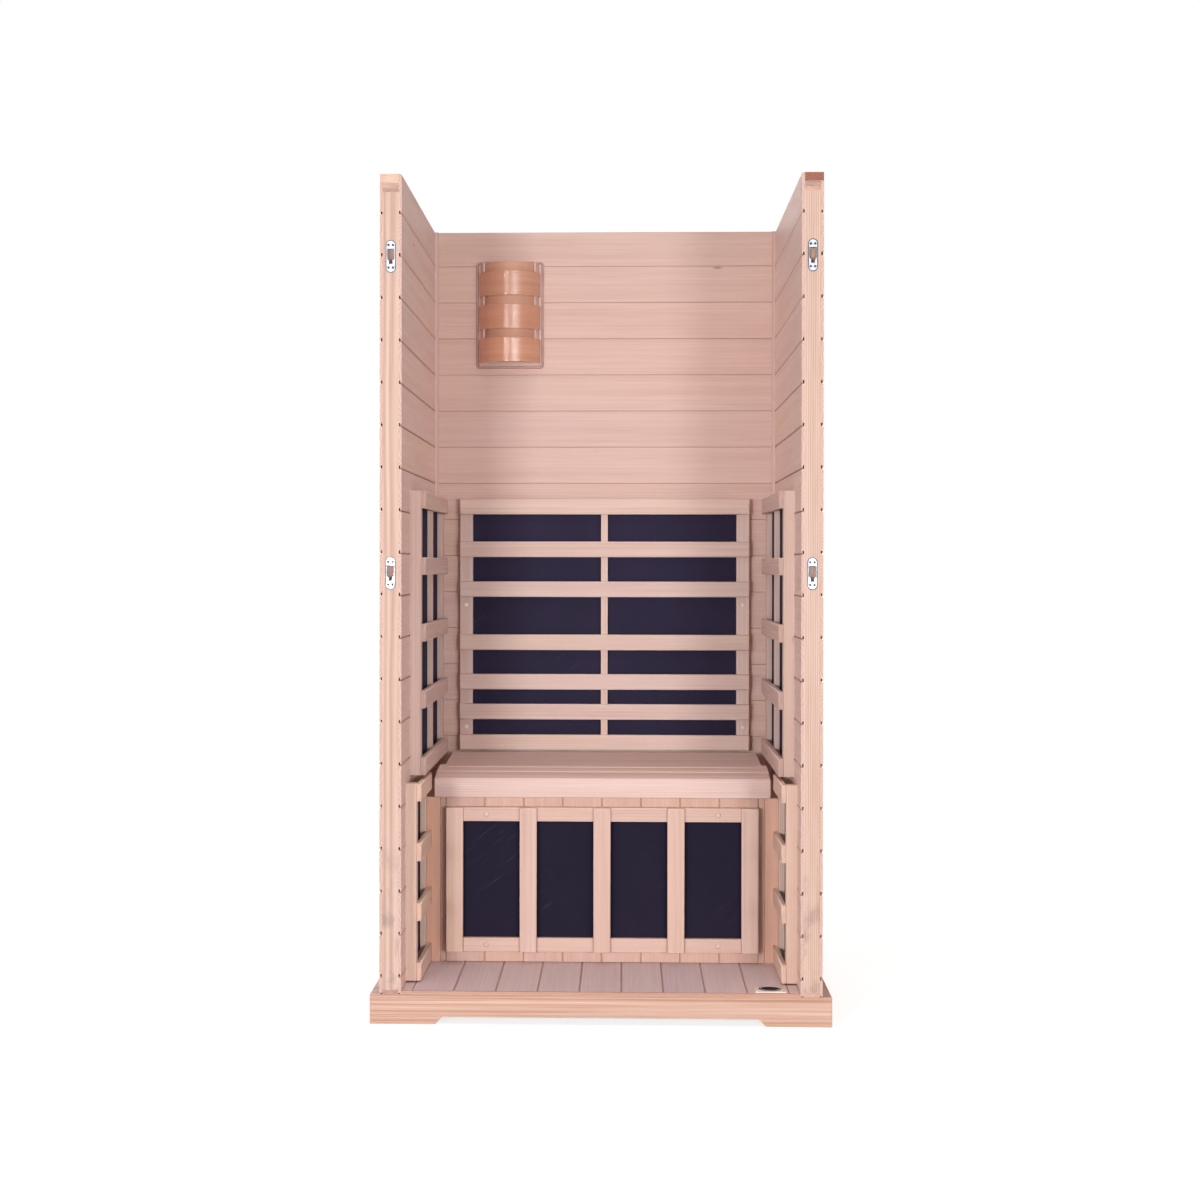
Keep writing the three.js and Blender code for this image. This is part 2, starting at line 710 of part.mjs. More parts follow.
// The lamp hangs on the back wall. Local x runs across the wall, y up and z out of the wall.
function makeLamp() {
  const lamp = new THREE.Group();
  const face = lampPlateThickness + lampPanelRise;
  const radius = ((lampSlatChord / 2) ** 2 + lampSlatBow ** 2) / (2 * lampSlatBow);
  const axisDepth = face + lampSeatGap + lampSlatBow - radius;
  const slatInner = radius - lampVeneer;
  const shadeOuter = radius - shadeInset;
  const middle = lampHeight / 2;
  const angleAt = (depth, bend) => Math.asin((depth - axisDepth) / bend);
  const bentStrip = (outer, height) => {
    const inner = outer - lampVeneer;
    const end = angleAt(face + lampSeatGap, inner);
    return prismAlongY(bentSection(axisDepth, inner, outer, end, Math.PI - end), height, 28);
  };
  const plate = prismAlongZ(roundedRectangle(lampWidth, lampHeight, lampCorner), lampPlateThickness);
  const panel = prismAlongZ(roundedRectangle(lampWidth - 2 * lampLip, lampHeight - 2 * lampLip,
    lampCorner - lampLip / 2), face);
  const base = [plate.translate(0, middle, 0), panel.translate(0, middle, 0)];
  const railStart = angleAt(lampPlateThickness, slatInner);
  const railAngle = lampRailDepth / slatInner;
  for (const from of [railStart, Math.PI - railStart - railAngle]) {
    const section = bentSection(axisDepth, shadeOuter + lampSeatGap, slatInner - lampSeatGap,
      from, from + railAngle);
    base.push(prismAlongY(section, shadeHeight, 6).translate(0, shadeRise, 0));
  }
  const bulbDepth = face + bulbPlateGap + Math.max(bulbRadius, holderRadius);
  const holderBottom = lampShelfRise + lampShelf;
  base.push(blockGeometry([-lampShelfWidth / 2, lampShelfRise, lampPlateThickness],
    [lampShelfWidth / 2, holderBottom, bulbDepth + holderRadius]));
  addPart(lamp, 'lamp_base', joined(base), 'veneer');
  ['lower', 'middle', 'upper'].forEach((level, i) => {
    const slat = addPart(lamp, `lamp_${level}_slat`, bentStrip(radius, lampSlatHeight), 'veneer');
    slat.position.y = lampSlatBase + i * lampSlatPitch;
  });
  const shade = addPart(lamp, 'lamp_shade', bentStrip(shadeOuter, shadeHeight), 'veneer');
  shade.position.y = shadeRise;
  const holderShape = new THREE.CylinderGeometry(holderRadius, holderRadius, holderHeight, 24);
  const holder = addPart(lamp, 'lamp_holder', holderShape, 'porcelain');
  holder.position.set(0, holderBottom + holderHeight / 2, bulbDepth);
  const bulb = addPart(lamp, 'lamp_bulb', bulbGeometry(), 'glass');
  bulb.position.set(0, holderBottom + holderHeight, bulbDepth);
  const lampX = -innerHalf + lampSideGap + lampWidth / 2;
  place(lamp, [lampX, innerBack, wallTop - lampTopDrop - lampHeight], X, Z);
  return lamp;
}

// A round bulb on its neck, standing on the holder.
function bulbGeometry() {
  const points = [new THREE.Vector2(0, 0), new THREE.Vector2(bulbNeckRadius, 0)];
  const centre = bulbLength - bulbRadius;
  const start = -Math.acos(bulbNeckRadius / bulbRadius);
  const steps = 10;
  for (let i = 0; i < steps; i += 1) {
    const angle = start + (Math.PI / 2 - start) * (i / steps);
    points.push(new THREE.Vector2(bulbRadius * Math.cos(angle), centre + bulbRadius * Math.sin(angle)));
  }
  points.push(new THREE.Vector2(0, bulbLength));
  return new THREE.LatheGeometry(points, 24);
}

const cabin = new THREE.Group();
cabin.add(
  makeBase(),
  makeFloor(),
  makeSideWall('left', -1),
  makeSideWall('right', 1),
  makeBackWall(),
  makeWallHeaters(),
  makeCalfHeater(),
  makeBenchCarcass(),
  makeSeat(),
  makeLamp(),
);

export default cabin;
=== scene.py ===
# Infrared sauna cabin for one person, open at the front and the top, dressed piece by piece.
# Metres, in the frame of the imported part: +X to the viewer's right, +Y to the back wall, +Z up.
import math
import random

import bmesh
import bpy
from mathutils import Matrix, Vector


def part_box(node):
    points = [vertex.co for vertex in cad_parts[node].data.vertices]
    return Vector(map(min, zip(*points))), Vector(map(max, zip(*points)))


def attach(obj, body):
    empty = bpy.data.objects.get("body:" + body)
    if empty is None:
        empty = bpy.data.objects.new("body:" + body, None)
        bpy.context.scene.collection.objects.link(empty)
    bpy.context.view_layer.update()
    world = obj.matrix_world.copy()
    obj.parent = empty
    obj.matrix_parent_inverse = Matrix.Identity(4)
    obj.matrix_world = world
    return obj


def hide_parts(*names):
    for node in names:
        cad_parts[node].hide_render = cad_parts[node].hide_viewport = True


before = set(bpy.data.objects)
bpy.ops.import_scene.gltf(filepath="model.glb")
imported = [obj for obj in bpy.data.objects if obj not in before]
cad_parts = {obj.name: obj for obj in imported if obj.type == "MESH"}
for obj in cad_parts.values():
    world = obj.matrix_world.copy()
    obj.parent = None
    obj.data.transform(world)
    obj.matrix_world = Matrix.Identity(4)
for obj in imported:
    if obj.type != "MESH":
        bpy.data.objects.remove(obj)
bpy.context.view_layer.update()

X, Y, Z = Vector((1, 0, 0)), Vector((0, 1, 0)), Vector((0, 0, 1))


# The base: five rails glued up from flat layers of softwood, on four feet with slanted ends.
# The layers show as bands with thin pale seams, and every arris is planed off by a millimetre or two.

RAIL_EASE = 0.0016
RAIL_LAYER = 0.0092
RAIL_PALE = (228, 202, 188)
RAIL_DARK = (198, 153, 132)
RAIL_TINTS = ((232, 222, 216), (255, 253, 251))
RAIL_SEAM = (248, 228, 213)
SEAM_SHARE = 0.12
WOOD_TINTS = ((250, 249, 251), (255, 252, 247))
END_BROWN = (176, 126, 104)
KNOT_BROWN = (150, 98, 74)
STAIN_GREY = (150, 128, 122)


def put(tree, kind, feeds=None, **settings):
    """Adds a node. A socket that feeds an input is linked to it, and a plain value is set on it."""
    made = tree.nodes.new(kind)
    for key, value in settings.items():
        setattr(made, key, value)
    for key, value in (feeds or {}).items():
        if isinstance(value, bpy.types.NodeSocket):
            tree.links.new(value, made.inputs[key])
        else:
            made.inputs[key].default_value = value
    return made


def colour(red, green, blue):
    """A colour on the 8-bit scale, as the linear values that a shader takes."""
    levels = [level / 255 for level in (red, green, blue)]
    return tuple(v / 12.92 if v <= 0.04045 else ((v + 0.055) / 1.055) ** 2.4 for v in levels) + (1.0,)


def start_finish(name, **constants):
    """A bare material with its shader, whose constant inputs are set on the shader itself."""
    material = bpy.data.materials.new(name)
    material.use_nodes = True
    tree = material.node_tree
    tree.nodes.clear()
    shader = put(tree, "ShaderNodeBsdfPrincipled")
    for key, value in constants.items():
        shader.inputs[key.replace("_", " ")].default_value = value
    put(tree, "ShaderNodeOutputMaterial", {"Surface": shader.outputs["BSDF"]})
    return material, tree, shader


def end_finish(tree, shader, skin, haze, relief, strength, depth):
    """Gives a material's shader its colour, its roughness and a fine relief."""
    bump = put(tree, "ShaderNodeBump", {"Strength": strength, "Distance": depth, "Height": relief})
    for key, value in (("Base Color", skin), ("Roughness", haze), ("Normal", bump.outputs[0])):
        tree.links.new(value, shader.inputs[key])


def sums(tree, operation, first, second=0.0, clamp=False):
    return put(tree, "ShaderNodeMath", {0: first, 1: second}, operation=operation, use_clamp=clamp).outputs[0]


def stretch(tree, place, factors):
    return put(tree, "ShaderNodeVectorMath", {0: place, 1: factors}, operation="MULTIPLY").outputs[0]


def moved(tree, place, shift):
    return put(tree, "ShaderNodeVectorMath", {0: place, 1: shift}, operation="ADD").outputs[0]


def cloud(tree, place, factors, detail=2.0):
    """Noise of 0 to 1 that is stretched or squeezed along each direction."""
    feeds = {"Vector": stretch(tree, place, factors), "Scale": 1.0, "Detail": detail}
    return put(tree, "ShaderNodeTexNoise", feeds).outputs[0]


def ramp(tree, value, low, high, start=0.0, stop=1.0):
    feeds = {"Value": value, "From Min": low, "From Max": high, "To Min": start, "To Max": stop}
    return put(tree, "ShaderNodeMapRange", feeds).outputs[0]


def mix(tree, share, first, second, how="MIX"):
    feeds = {0: share, 6: first, 7: second}
    return put(tree, "ShaderNodeMix", feeds, data_type="RGBA", blend_type=how).outputs[2]


def on_piece(tree):
    return put(tree, "ShaderNodeTexCoord").outputs["Object"]


def carried(tree, name, output):
    """A value that the mesh itself carries at each point or face."""
    return put(tree, "ShaderNodeAttribute", attribute_name=name).outputs[output]


def make_timber(name, pale, dark, ring_gap, rings=0.35, streaks=0.45, layer=0.0, stains=0.0, roughness=0.6,
                gloss=0.3, end_colour=END_BROWN, end_share=0.3, arris=None, tints=WOOD_TINTS):
    """Sawn wood: growth rings about the heart of the log, streaks and fibres along it, knots and end grain.
    The mesh carries each point's place in its log as grain, with x along the log."""
    material, tree, shader = start_finish(name, Specular_IOR_Level=gloss)
    log = carried(tree, "grain", "Vector")
    tone = carried(tree, "tone", "Fac")
    if layer:
        split = put(tree, "ShaderNodeSeparateXYZ", {0: log}).outputs["Y"]
        count = sums(tree, "FLOOR", sums(tree, "DIVIDE", split, layer))
        draw = put(tree, "ShaderNodeTexWhiteNoise", {"W": count}, noise_dimensions="1D")
        apart = stretch(tree, draw.outputs["Color"], (3.0, 0.02, 0.06))
        log = moved(tree, log, apart)
        tone = draw.outputs["Value"]
        part = sums(tree, "FRACT", sums(tree, "DIVIDE", split, layer))
    ring_feeds = {"Vector": stretch(tree, log, (0.05, 1, 1)), "Scale": math.tau / (20 * ring_gap),
                  "Distortion": 4.0, "Detail": 2.0, "Detail Scale": 0.35}
    ring = put(tree, "ShaderNodeTexWave", ring_feeds, wave_type="RINGS", rings_direction="X").outputs[1]
    broad = cloud(tree, log, (1.3, 34, 34), 3.0)
    fine = cloud(tree, log, (7, 330, 330))
    fibre = cloud(tree, log, (40, 1500, 1500))
    figure = sums(tree, "MULTIPLY", ring, rings)
    figure = sums(tree, "ADD", figure, ramp(tree, broad, 0.36, 0.66, 0.0, streaks))
    figure = sums(tree, "ADD", figure, ramp(tree, fine, 0.3, 0.7, -0.1, 0.16), True)
    wood = mix(tree, figure, colour(*pale), colour(*dark))
    wood = mix(tree, 1.0, wood, mix(tree, tone, colour(*tints[0]), colour(*tints[1])), "MULTIPLY")
    if layer:
        thin = ramp(tree, part, SEAM_SHARE, 0.0)
        seam = sums(tree, "MULTIPLY", thin, ramp(tree, broad, 0.4, 0.6, 0.9, 0.4))
        wood = mix(tree, seam, wood, colour(*RAIL_SEAM))
    knot_feeds = {"Vector": stretch(tree, log, (3, 9, 9)), "Scale": 1.0}
    knot = put(tree, "ShaderNodeTexVoronoi", knot_feeds).outputs["Distance"]
    wood = mix(tree, ramp(tree, knot, 0.045, 0.015, 0.0, 0.6), wood, colour(*KNOT_BROWN))
    cut = sums(tree, "MULTIPLY", carried(tree, "end", "Fac"), end_share)
    cut = sums(tree, "MULTIPLY", cut, ramp(tree, ring, 0.0, 1.0, 0.75, 1.15))
    wood = mix(tree, cut, wood, colour(*end_colour))
    # Eased faces take a paler colour as wear, or the given arris colour instead: painted shade in the boards'
    # hollows and on the lamp plate's arrises, and a dark ring round the plugs.
    least, most = (0.8, 1.0) if arris else (0.1, 0.35)
    wear_and_painted_shade = sums(tree, "MULTIPLY", carried(tree, "ease", "Fac"), ramp(tree, broad, 0.4, 0.6, least, most))
    wood = mix(tree, wear_and_painted_shade, wood, colour(*(arris or [min(250, level + 8) for level in pale])))
    if stains:
        place = on_piece(tree)
        height = put(tree, "ShaderNodeSeparateXYZ", {0: place}).outputs["Z"]
        patch = ramp(tree, cloud(tree, place, (26, 26, 17), 5.0), 0.5, 0.68)
        low = ramp(tree, height, 0.5, 0.12)
        grey = sums(tree, "MULTIPLY", sums(tree, "MULTIPLY", patch, low), stains)
        wood = mix(tree, grey, wood, colour(*STAIN_GREY))
    haze = ramp(tree, fine, 0.3, 0.7, roughness - 0.06, roughness + 0.1)
    relief = sums(tree, "ADD", fibre, sums(tree, "MULTIPLY", ring, 0.35))
    end_finish(tree, shader, wood, haze, relief, 0.3, 0.0005)
    return material


def solid_of(node):
    """The closed solid of a CAD node, with its loose triangles merged and its flat faces whole."""
    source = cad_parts[node].data
    solid = bmesh.new()
    points = [solid.verts.new(point.co) for point in source.vertices]
    for face in source.polygons:
        solid.faces.new([points[i] for i in face.vertices])
    bmesh.ops.remove_doubles(solid, verts=solid.verts, dist=1e-5)
    bmesh.ops.dissolve_limit(solid, angle_limit=math.radians(0.5), verts=solid.verts, edges=solid.edges)
    return solid


def add_block(solid, low, high):
    """A rectangular block between two corners, added to a solid. Gives its edges."""
    made = bmesh.ops.create_cube(solid, size=1.0)["verts"]
    for point in made:
        point.co = [low[i] if point.co[i] < 0 else high[i] for i in range(3)]
    return list({edge for point in made for edge in point.link_edges})


def sharp_edges(solid, least):
    return [edge for edge in solid.edges
            if edge.is_manifold and edge.calc_face_angle() > math.radians(least)]


def ease_edges(solid, edges, ease, steps=2):
    """Rounds arrises off, and marks the faces that this leaves as worn."""
    mark = solid.faces.layers.float.get("ease") or solid.faces.layers.float.new("ease")
    made = bmesh.ops.bevel(solid, geom=edges, offset=ease, offset_type="OFFSET", segments=steps,
                           profile=0.5, affect="EDGES", clamp_overlap=True)
    for face in made["faces"]:
        face[mark] = 1.0
        face.smooth = True


def to_mesh(solid, name, smooth_over=None):
    """The solid's mesh. Faces that meet at less than the angle smooth_over, if given, are shaded as one."""
    mesh = bpy.data.meshes.new(name)
    bmesh.ops.recalc_face_normals(solid, faces=solid.faces)
    solid.to_mesh(mesh)
    solid.free()
    if smooth_over:
        for face in mesh.polygons:
            face.use_smooth = True
        mesh.set_sharp_from_angle(angle=math.radians(smooth_over))
    return mesh


def lay_grain(mesh, along, across, heart=(0.0, 0.07), spread=0.03, wound=None):
    """Sets where each point of a piece lies in its log: along it, and off its heart across and through."""
    draw = random.Random(mesh.name)
    through = along.cross(across)
    shift = Vector((draw.uniform(-5, 5), heart[0] + draw.uniform(-spread, spread),
                    heart[1] + draw.uniform(-spread, spread)))
    level = draw.random()
    mesh.attributes.new("grain", "FLOAT_VECTOR", "POINT")
    mesh.attributes.new("tone", "FLOAT", "POINT")
    mesh.attributes.new("end", "FLOAT", "FACE")
    for point, place, tone in zip(mesh.vertices, mesh.attributes["grain"].data, mesh.attributes["tone"].data):
        at = wound(point.co) if wound else Vector([point.co.dot(way) for way in (along, across, through)])
        place.vector = at + shift
        tone.value = level
    for face, end in zip(mesh.polygons, mesh.attributes["end"].data):
        end.value = float(not wound and abs(face.normal.dot(along)) > 0.8)
    return mesh


def eased_mesh(node, name, ease, least=30.0, smooth_over=None):
    """A CAD node's mesh with its arrises off, those of more than the least angle."""
    solid = solid_of(node)
    ease_edges(solid, sharp_edges(solid, least), ease)
    return to_mesh(solid, name, smooth_over)


def link(item):
    bpy.context.scene.collection.objects.link(item)


def add_piece(name, mesh, finish, nodes=(), body="cabin"):
    """Puts a finished mesh in the scene, on its body and in place of its CAD nodes."""
    piece = bpy.data.objects.new(name, mesh)
    link(piece)
    mesh.materials.clear()
    mesh.materials.append(finish)
    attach(piece, body)
    if nodes:
        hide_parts(*nodes)


def eased_timber(node, finish, along, across, ease, heart=(0.0, 0.07), body="cabin"):
    """A CAD node as a planed timber with its arrises off."""
    mesh = lay_grain(eased_mesh(node, node + "_timber", ease), along, across, heart)
    add_piece(node + "_timber", mesh, finish, [node], body)


laminate = make_timber("glued_softwood", RAIL_PALE, RAIL_DARK, 0.007, rings=0.55, streaks=0.6,
                       layer=RAIL_LAYER, tints=RAIL_TINTS)
for node in ("base_front_rail", "base_rear_rail", "base_middle_rail",
             "foot_front_left", "foot_front_right", "foot_rear_left", "foot_rear_right"):
    eased_timber(node, laminate, X, Z, RAIL_EASE, (0.3, 0.0))
for node in ("base_left_rail", "base_right_rail"):
    eased_timber(node, laminate, Y, Z, RAIL_EASE, (0.3, 0.0))


# The boards: tongue-and-groove softwood, planed on one face, with a V at every joint and the hollow of
# the groove open at the ends. They are laid edge to edge on the floor, up the walls and under the bench.

BOARD_EASE = 0.0022
BOARD_JOINT = 0.0002
BOARD_SLOT = 0.001
TIGHT_SLOT = 0.0002
TIGHT_EASE = 0.0012
HOLLOW_LIP = 0.0004
HOLLOW_RISE = 0.007
HOLLOW_FACES = (1, 2, 3)
V_STAIN = 0.5
WALL_PITCH = 0.091
WALL_FIRST = 0.086
WALL_COURSES = 20
FLOOR_PITCH = 0.09
KICK_PITCH = 0.09
KICK_FIRST = 0.012
FLOOR_COURSES = 12
LEAST_BOARD = 0.005
BOARD_SHIFT = (5.0, 0.035, 0.03)
BOARD_PALE = (225, 198, 189)
BOARD_DARK = (203, 166, 153)
# Painted light: the side walls' boards are given paler tones than the back wall's.
SIDE_PAINTED_LIGHT_PALE = (245, 221, 213)
SIDE_PAINTED_LIGHT_DARK = (226, 192, 180)
# Painted shade: the near black and the dark brown that are painted inside the open hollows at the board ends,
# given to the finishes as arris colours.
HOLLOW_PAINTED_SHADE = (20, 15, 16)
BACK_HOLLOW_PAINTED_SHADE = (96, 62, 54)
FLOOR_PALE = (229, 212, 214)
FLOOR_DARK = (204, 183, 183)
FLOOR_TINTS = ((243, 241, 246), (253, 250, 247))
# Painted shade: the kick panel's boards under the seat are given darker tones than the wall boards.
KICK_PAINTED_SHADE_PALE = (216, 185, 171)
KICK_PAINTED_SHADE_DARK = (196, 154, 138)


def make_set_out():
    """Stands a piece at each point of a mesh, each with its own place in the log, its own tone and turn."""
    tree = bpy.data.node_groups.new("set_out", "GeometryNodeTree")
    for name, kind in (("Points", "Geometry"), ("Piece", "Object"), ("Grain Shift", "Vector"),
                       ("Turn", "Float"), ("Seed", "Int"), ("Finish", "Material")):
        tree.interface.new_socket(name, in_out="INPUT", socket_type="NodeSocket" + kind)
    tree.interface.new_socket("Pieces", in_out="OUTPUT", socket_type="NodeSocketGeometry")
    given = put(tree, "NodeGroupInput").outputs

    def read(name, kind):
        return put(tree, "GeometryNodeInputNamedAttribute", {"Name": name}, data_type=kind).outputs[0]

    def store(shape, name, kind, value):
        feeds = {"Geometry": shape, "Name": name, "Value": value}
        return put(tree, "GeometryNodeStoreNamedAttribute", feeds, data_type=kind, domain="POINT").outputs[0]

    def chance(most, row):
        feeds = {2: 0.0, 3: most, "ID": row, "Seed": given["Seed"]}
        return put(tree, "FunctionNodeRandomValue", feeds, data_type="FLOAT").outputs[1]

    index = put(tree, "GeometryNodeInputIndex").outputs[0]
    points = store(given["Points"], "row", "INT", index)
    spin = put(tree, "ShaderNodeCombineXYZ", {"Z": chance(given["Turn"], index)}).outputs[0]
    source = put(tree, "GeometryNodeObjectInfo", {"Object": given["Piece"]}).outputs["Geometry"]
    stand_feeds = {"Points": points, "Instance": source, "Rotation": spin,
                   "Scale": read("size", "FLOAT_VECTOR")}
    copies = put(tree, "GeometryNodeInstanceOnPoints", stand_feeds).outputs[0]
    real = put(tree, "GeometryNodeRealizeInstances", {"Geometry": copies}).outputs[0]
    row = read("row", "INT")
    least = stretch(tree, given["Grain Shift"], (-1, -1, -1))
    shift_feeds = {0: least, 1: given["Grain Shift"], "ID": row, "Seed": given["Seed"]}
    shift = put(tree, "FunctionNodeRandomValue", shift_feeds, data_type="FLOAT_VECTOR").outputs[0]
    sawn = moved(tree, read("grain", "FLOAT_VECTOR"), shift)
    real = store(real, "grain", "FLOAT_VECTOR", sawn)
    real = store(real, "tone", "FLOAT", chance(1.0, row))
    done = put(tree, "GeometryNodeSetMaterial", {"Geometry": real, "Material": given["Finish"]}).outputs[0]
    put(tree, "NodeGroupOutput", {"Pieces": done})
    return tree


set_out_tree = make_set_out()


def set_out(name, pattern, places, finish, seed, sizes=None, shift=(5.0, 0.03, 0.03), turn=0.0):
    """The mesh of a pattern stood at each place, scaled by its size there."""
    source = bpy.data.objects.new(name + "_pattern", pattern)
    points = bpy.data.meshes.new(name + "_points")
    points.from_pydata(places, [], [])
    points.attributes.new("size", "FLOAT_VECTOR", "POINT")
    for held, size in zip(points.attributes["size"].data, sizes or [(1, 1, 1)] * len(places)):
        held.vector = size
    holder = bpy.data.objects.new(name + "_holder", points)
    for helper in (source, holder):
        link(helper)
    modifier = holder.modifiers.new("set_out", "NODES")
    modifier.node_group = set_out_tree
    inputs = {"Piece": source, "Grain Shift": shift, "Turn": turn, "Seed": seed, "Finish": finish}
    for socket in set_out_tree.interface.items_tree:
        if socket.in_out == "INPUT" and socket.name in inputs:
            modifier[socket.identifier] = inputs[socket.name]
    evaluated = holder.evaluated_get(bpy.context.evaluated_depsgraph_get())
    mesh = bpy.data.meshes.new_from_object(evaluated)
    mesh.name = name
    holder.modifiers.remove(modifier)
    for helper in (source, holder):
        bpy.data.objects.remove(helper)
    return mesh


def stand(mesh, node, out, up):
    """Moves a mesh made with x along, y out and z up from a corner to that corner of a CAD node's box."""
    along = out.cross(up)
    low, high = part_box(node)
    way = along + out + up
    corner = Vector([low[i] if way[i] > 0 else high[i] for i in range(3)])
    mesh.transform(Matrix.Translation(corner) @ Matrix((along, out, up)).transposed().to_4x4())
    return mesh


def extents(node, out, up):
    """A CAD node's size along, out and up."""
    low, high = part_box(node)
    size = high - low
    return [sum(abs(way[i]) * size[i] for i in range(3)) for way in (out.cross(up), out, up)]


def skirt(solid, first, second):
    """The faces from one ring of points to another of as many."""
    ways = [(i, (i + 1) % len(first)) for i in range(len(first))]
    return [solid.faces.new((first[i], first[j], second[j], second[i])) for i, j in ways]


def board_mesh(name, length, thickness, cover, slot, ease):
    """One board: x along it, its planed face at y = thickness, and a V, a slot and a hollow along its lower
    edge. The inside of the hollow is marked as eased, and the flanks of the V are stained like a cut end."""
    top = cover - BOARD_JOINT
    arris = thickness - ease
    outline = [(0, 0), (HOLLOW_LIP, 0), (HOLLOW_LIP, HOLLOW_RISE), (arris - HOLLOW_LIP, HOLLOW_RISE),
               (arris - HOLLOW_LIP, slot), (arris, slot), (thickness, slot + ease),
               (thickness, top - ease), (arris, top), (0, top)]
    solid = bmesh.new()
    starts = [solid.verts.new((0, y, z)) for y, z in outline]
    stops = [solid.verts.new((length, y, z)) for y, z in outline]
    solid.faces.new(starts)
    solid.faces.new(stops)
    mark = solid.faces.layers.float.new("ease")
    # The faces inside the hollow are marked as eased, so a finish's arris colour paints shade into them.
    for i, face in enumerate(skirt(solid, starts, stops)):
        face[mark] = float(i in HOLLOW_FACES)
    mesh = lay_grain(to_mesh(solid, name + "_board"), X, Z, (-cover / 2, 0.055), 0.0)
    for face, end in zip(mesh.polygons, mesh.attributes["end"].data):
        if 0.5 < face.normal.y < 0.9:
            end.value = V_STAIN
    return mesh


def boarded(node, finish, out, up, pitch, joints, seed, slot=BOARD_SLOT, ease=BOARD_EASE):
    """A boarded face in place of a CAD panel, with its joints counted up from its lower edge."""
    length, thickness, height = extents(node, out, up)
    inside = sorted(joint for joint in joints if LEAST_BOARD < joint < height - LEAST_BOARD)
    edges = [0.0, *inside, height]
    places = [(0, 0, low) for low in edges[:-1]]
    sizes = [(1, 1, (high - low) / pitch) for low, high in zip(edges, edges[1:])]
    pattern = board_mesh(node, length, thickness, pitch, slot, ease)
    mesh = set_out(node + "_laid", pattern, places, finish, seed, sizes, BOARD_SHIFT)
    add_piece(node + "_laid", stand(mesh, node, out, up), finish, [node])


wall_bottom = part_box("back_wall_inner_boards")[0].z
wall_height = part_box("back_wall_inner_boards")[1].z - wall_bottom
wall_joints = [wall_height - WALL_FIRST - i * WALL_PITCH for i in range(WALL_COURSES)]
floor_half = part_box("floor_boards")[1].x
floor_joints = [(floor_half - FLOOR_PITCH / 2) % FLOOR_PITCH + i * FLOOR_PITCH for i in range(FLOOR_COURSES)]
kick_joints = [KICK_FIRST + i * KICK_PITCH for i in range(FLOOR_COURSES)]

boards = make_timber("planed_softwood", BOARD_PALE, BOARD_DARK, 0.006, rings=0.14, streaks=0.3, end_share=0.2,
                     arris=BACK_HOLLOW_PAINTED_SHADE)
side_boards_painted_light = make_timber("planed_side_softwood", SIDE_PAINTED_LIGHT_PALE, SIDE_PAINTED_LIGHT_DARK, 0.006, rings=0.14, streaks=0.3,
                          end_share=0.5, arris=HOLLOW_PAINTED_SHADE)
kick_boards_painted_shade = make_timber("kick_softwood", KICK_PAINTED_SHADE_PALE, KICK_PAINTED_SHADE_DARK, 0.006, rings=0.14, streaks=0.3)
floor_wood = make_timber("trodden_softwood", FLOOR_PALE, FLOOR_DARK, 0.007, rings=0.12, streaks=0.22,
                         end_share=1.0, arris=HOLLOW_PAINTED_SHADE, tints=FLOOR_TINTS)
boarded("floor_boards", floor_wood, Z, X, FLOOR_PITCH, floor_joints, 11, TIGHT_SLOT)
boarded("left_wall_inner_boards", side_boards_painted_light, X, Z, WALL_PITCH, wall_joints, 21)
boarded("left_wall_outer_boards", side_boards_painted_light, -X, Z, WALL_PITCH, wall_joints, 22)
boarded("right_wall_inner_boards", side_boards_painted_light, -X, Z, WALL_PITCH, wall_joints, 23)
boarded("right_wall_outer_boards", side_boards_painted_light, X, Z, WALL_PITCH, wall_joints, 24)
boarded("back_wall_inner_boards", boards, -Y, Z, WALL_PITCH, wall_joints, 25, TIGHT_SLOT, TIGHT_EASE)
boarded("back_wall_outer_boards", boards, Y, Z, WALL_PITCH, wall_joints, 26)
boarded("kick_panel", kick_boards_painted_shade, -Y, X, KICK_PITCH, kick_joints, 27, TIGHT_SLOT)


# The edge strip of the floor, a thin lath of the same glued softwood in front of the floor boards.
# It closes the open ends of their joints.

LATH_EASE = 0.0006

eased_timber("floor_front_strip", laminate, X, Z, LATH_EASE, (0.0, 0.3))


# The badge on the floor: a pale moulded plate with a dark enamelled disc inside a thin ring.
# It is glued down, and it is left blank.

BADGE_CORNER = 0.003
BADGE_PLATE = 0.002
BADGE_EASE = 0.0006
BADGE_DISC = [(0.0242, 0.0018), (0.0238, 0.0027), (0.0222, 0.0028), (0.0002, 0.0028)]
BADGE_RING = [(0.0216, 0.0020), (0.0215, 0.0031), (0.0203, 0.0031), (0.0202, 0.0020)]
BADGE_STEPS = 48
BADGE_PALE = (236, 224, 212)
BADGE_DARK = (34, 33, 48)


def rounded_outline(low, high, radius, steps=5):
    """Points round a rectangle with rounded corners, as pairs."""
    points = []
    for i, (u, v) in enumerate(((high[0], high[1]), (low[0], high[1]), (low[0], low[1]), (high[0], low[1]))):
        centre = (u - radius if i in (0, 3) else u + radius, v - radius if i in (0, 1) else v + radius)
        for step in range(steps + 1):
            angle = math.pi / 2 * (i + step / steps)
            points.append((centre[0] + radius * math.cos(angle), centre[1] + radius * math.sin(angle)))
    return points


def ring_edges(solid, ring):
    return [solid.edges.get((ring[i - 1], ring[i])) for i in [*range(1, len(ring)), 0]]


def add_plate(solid, outline, low, high, ease):
    """A flat plate of an outline in x and y between two heights, with its upper arris eased."""
    below = [solid.verts.new((u, v, low)) for u, v in outline]
    above = [solid.verts.new((u, v, high)) for u, v in outline]
    solid.faces.new(below[::-1])
    solid.faces.new(above)
    skirt(solid, below, above)
    ease_edges(solid, ring_edges(solid, above), ease)


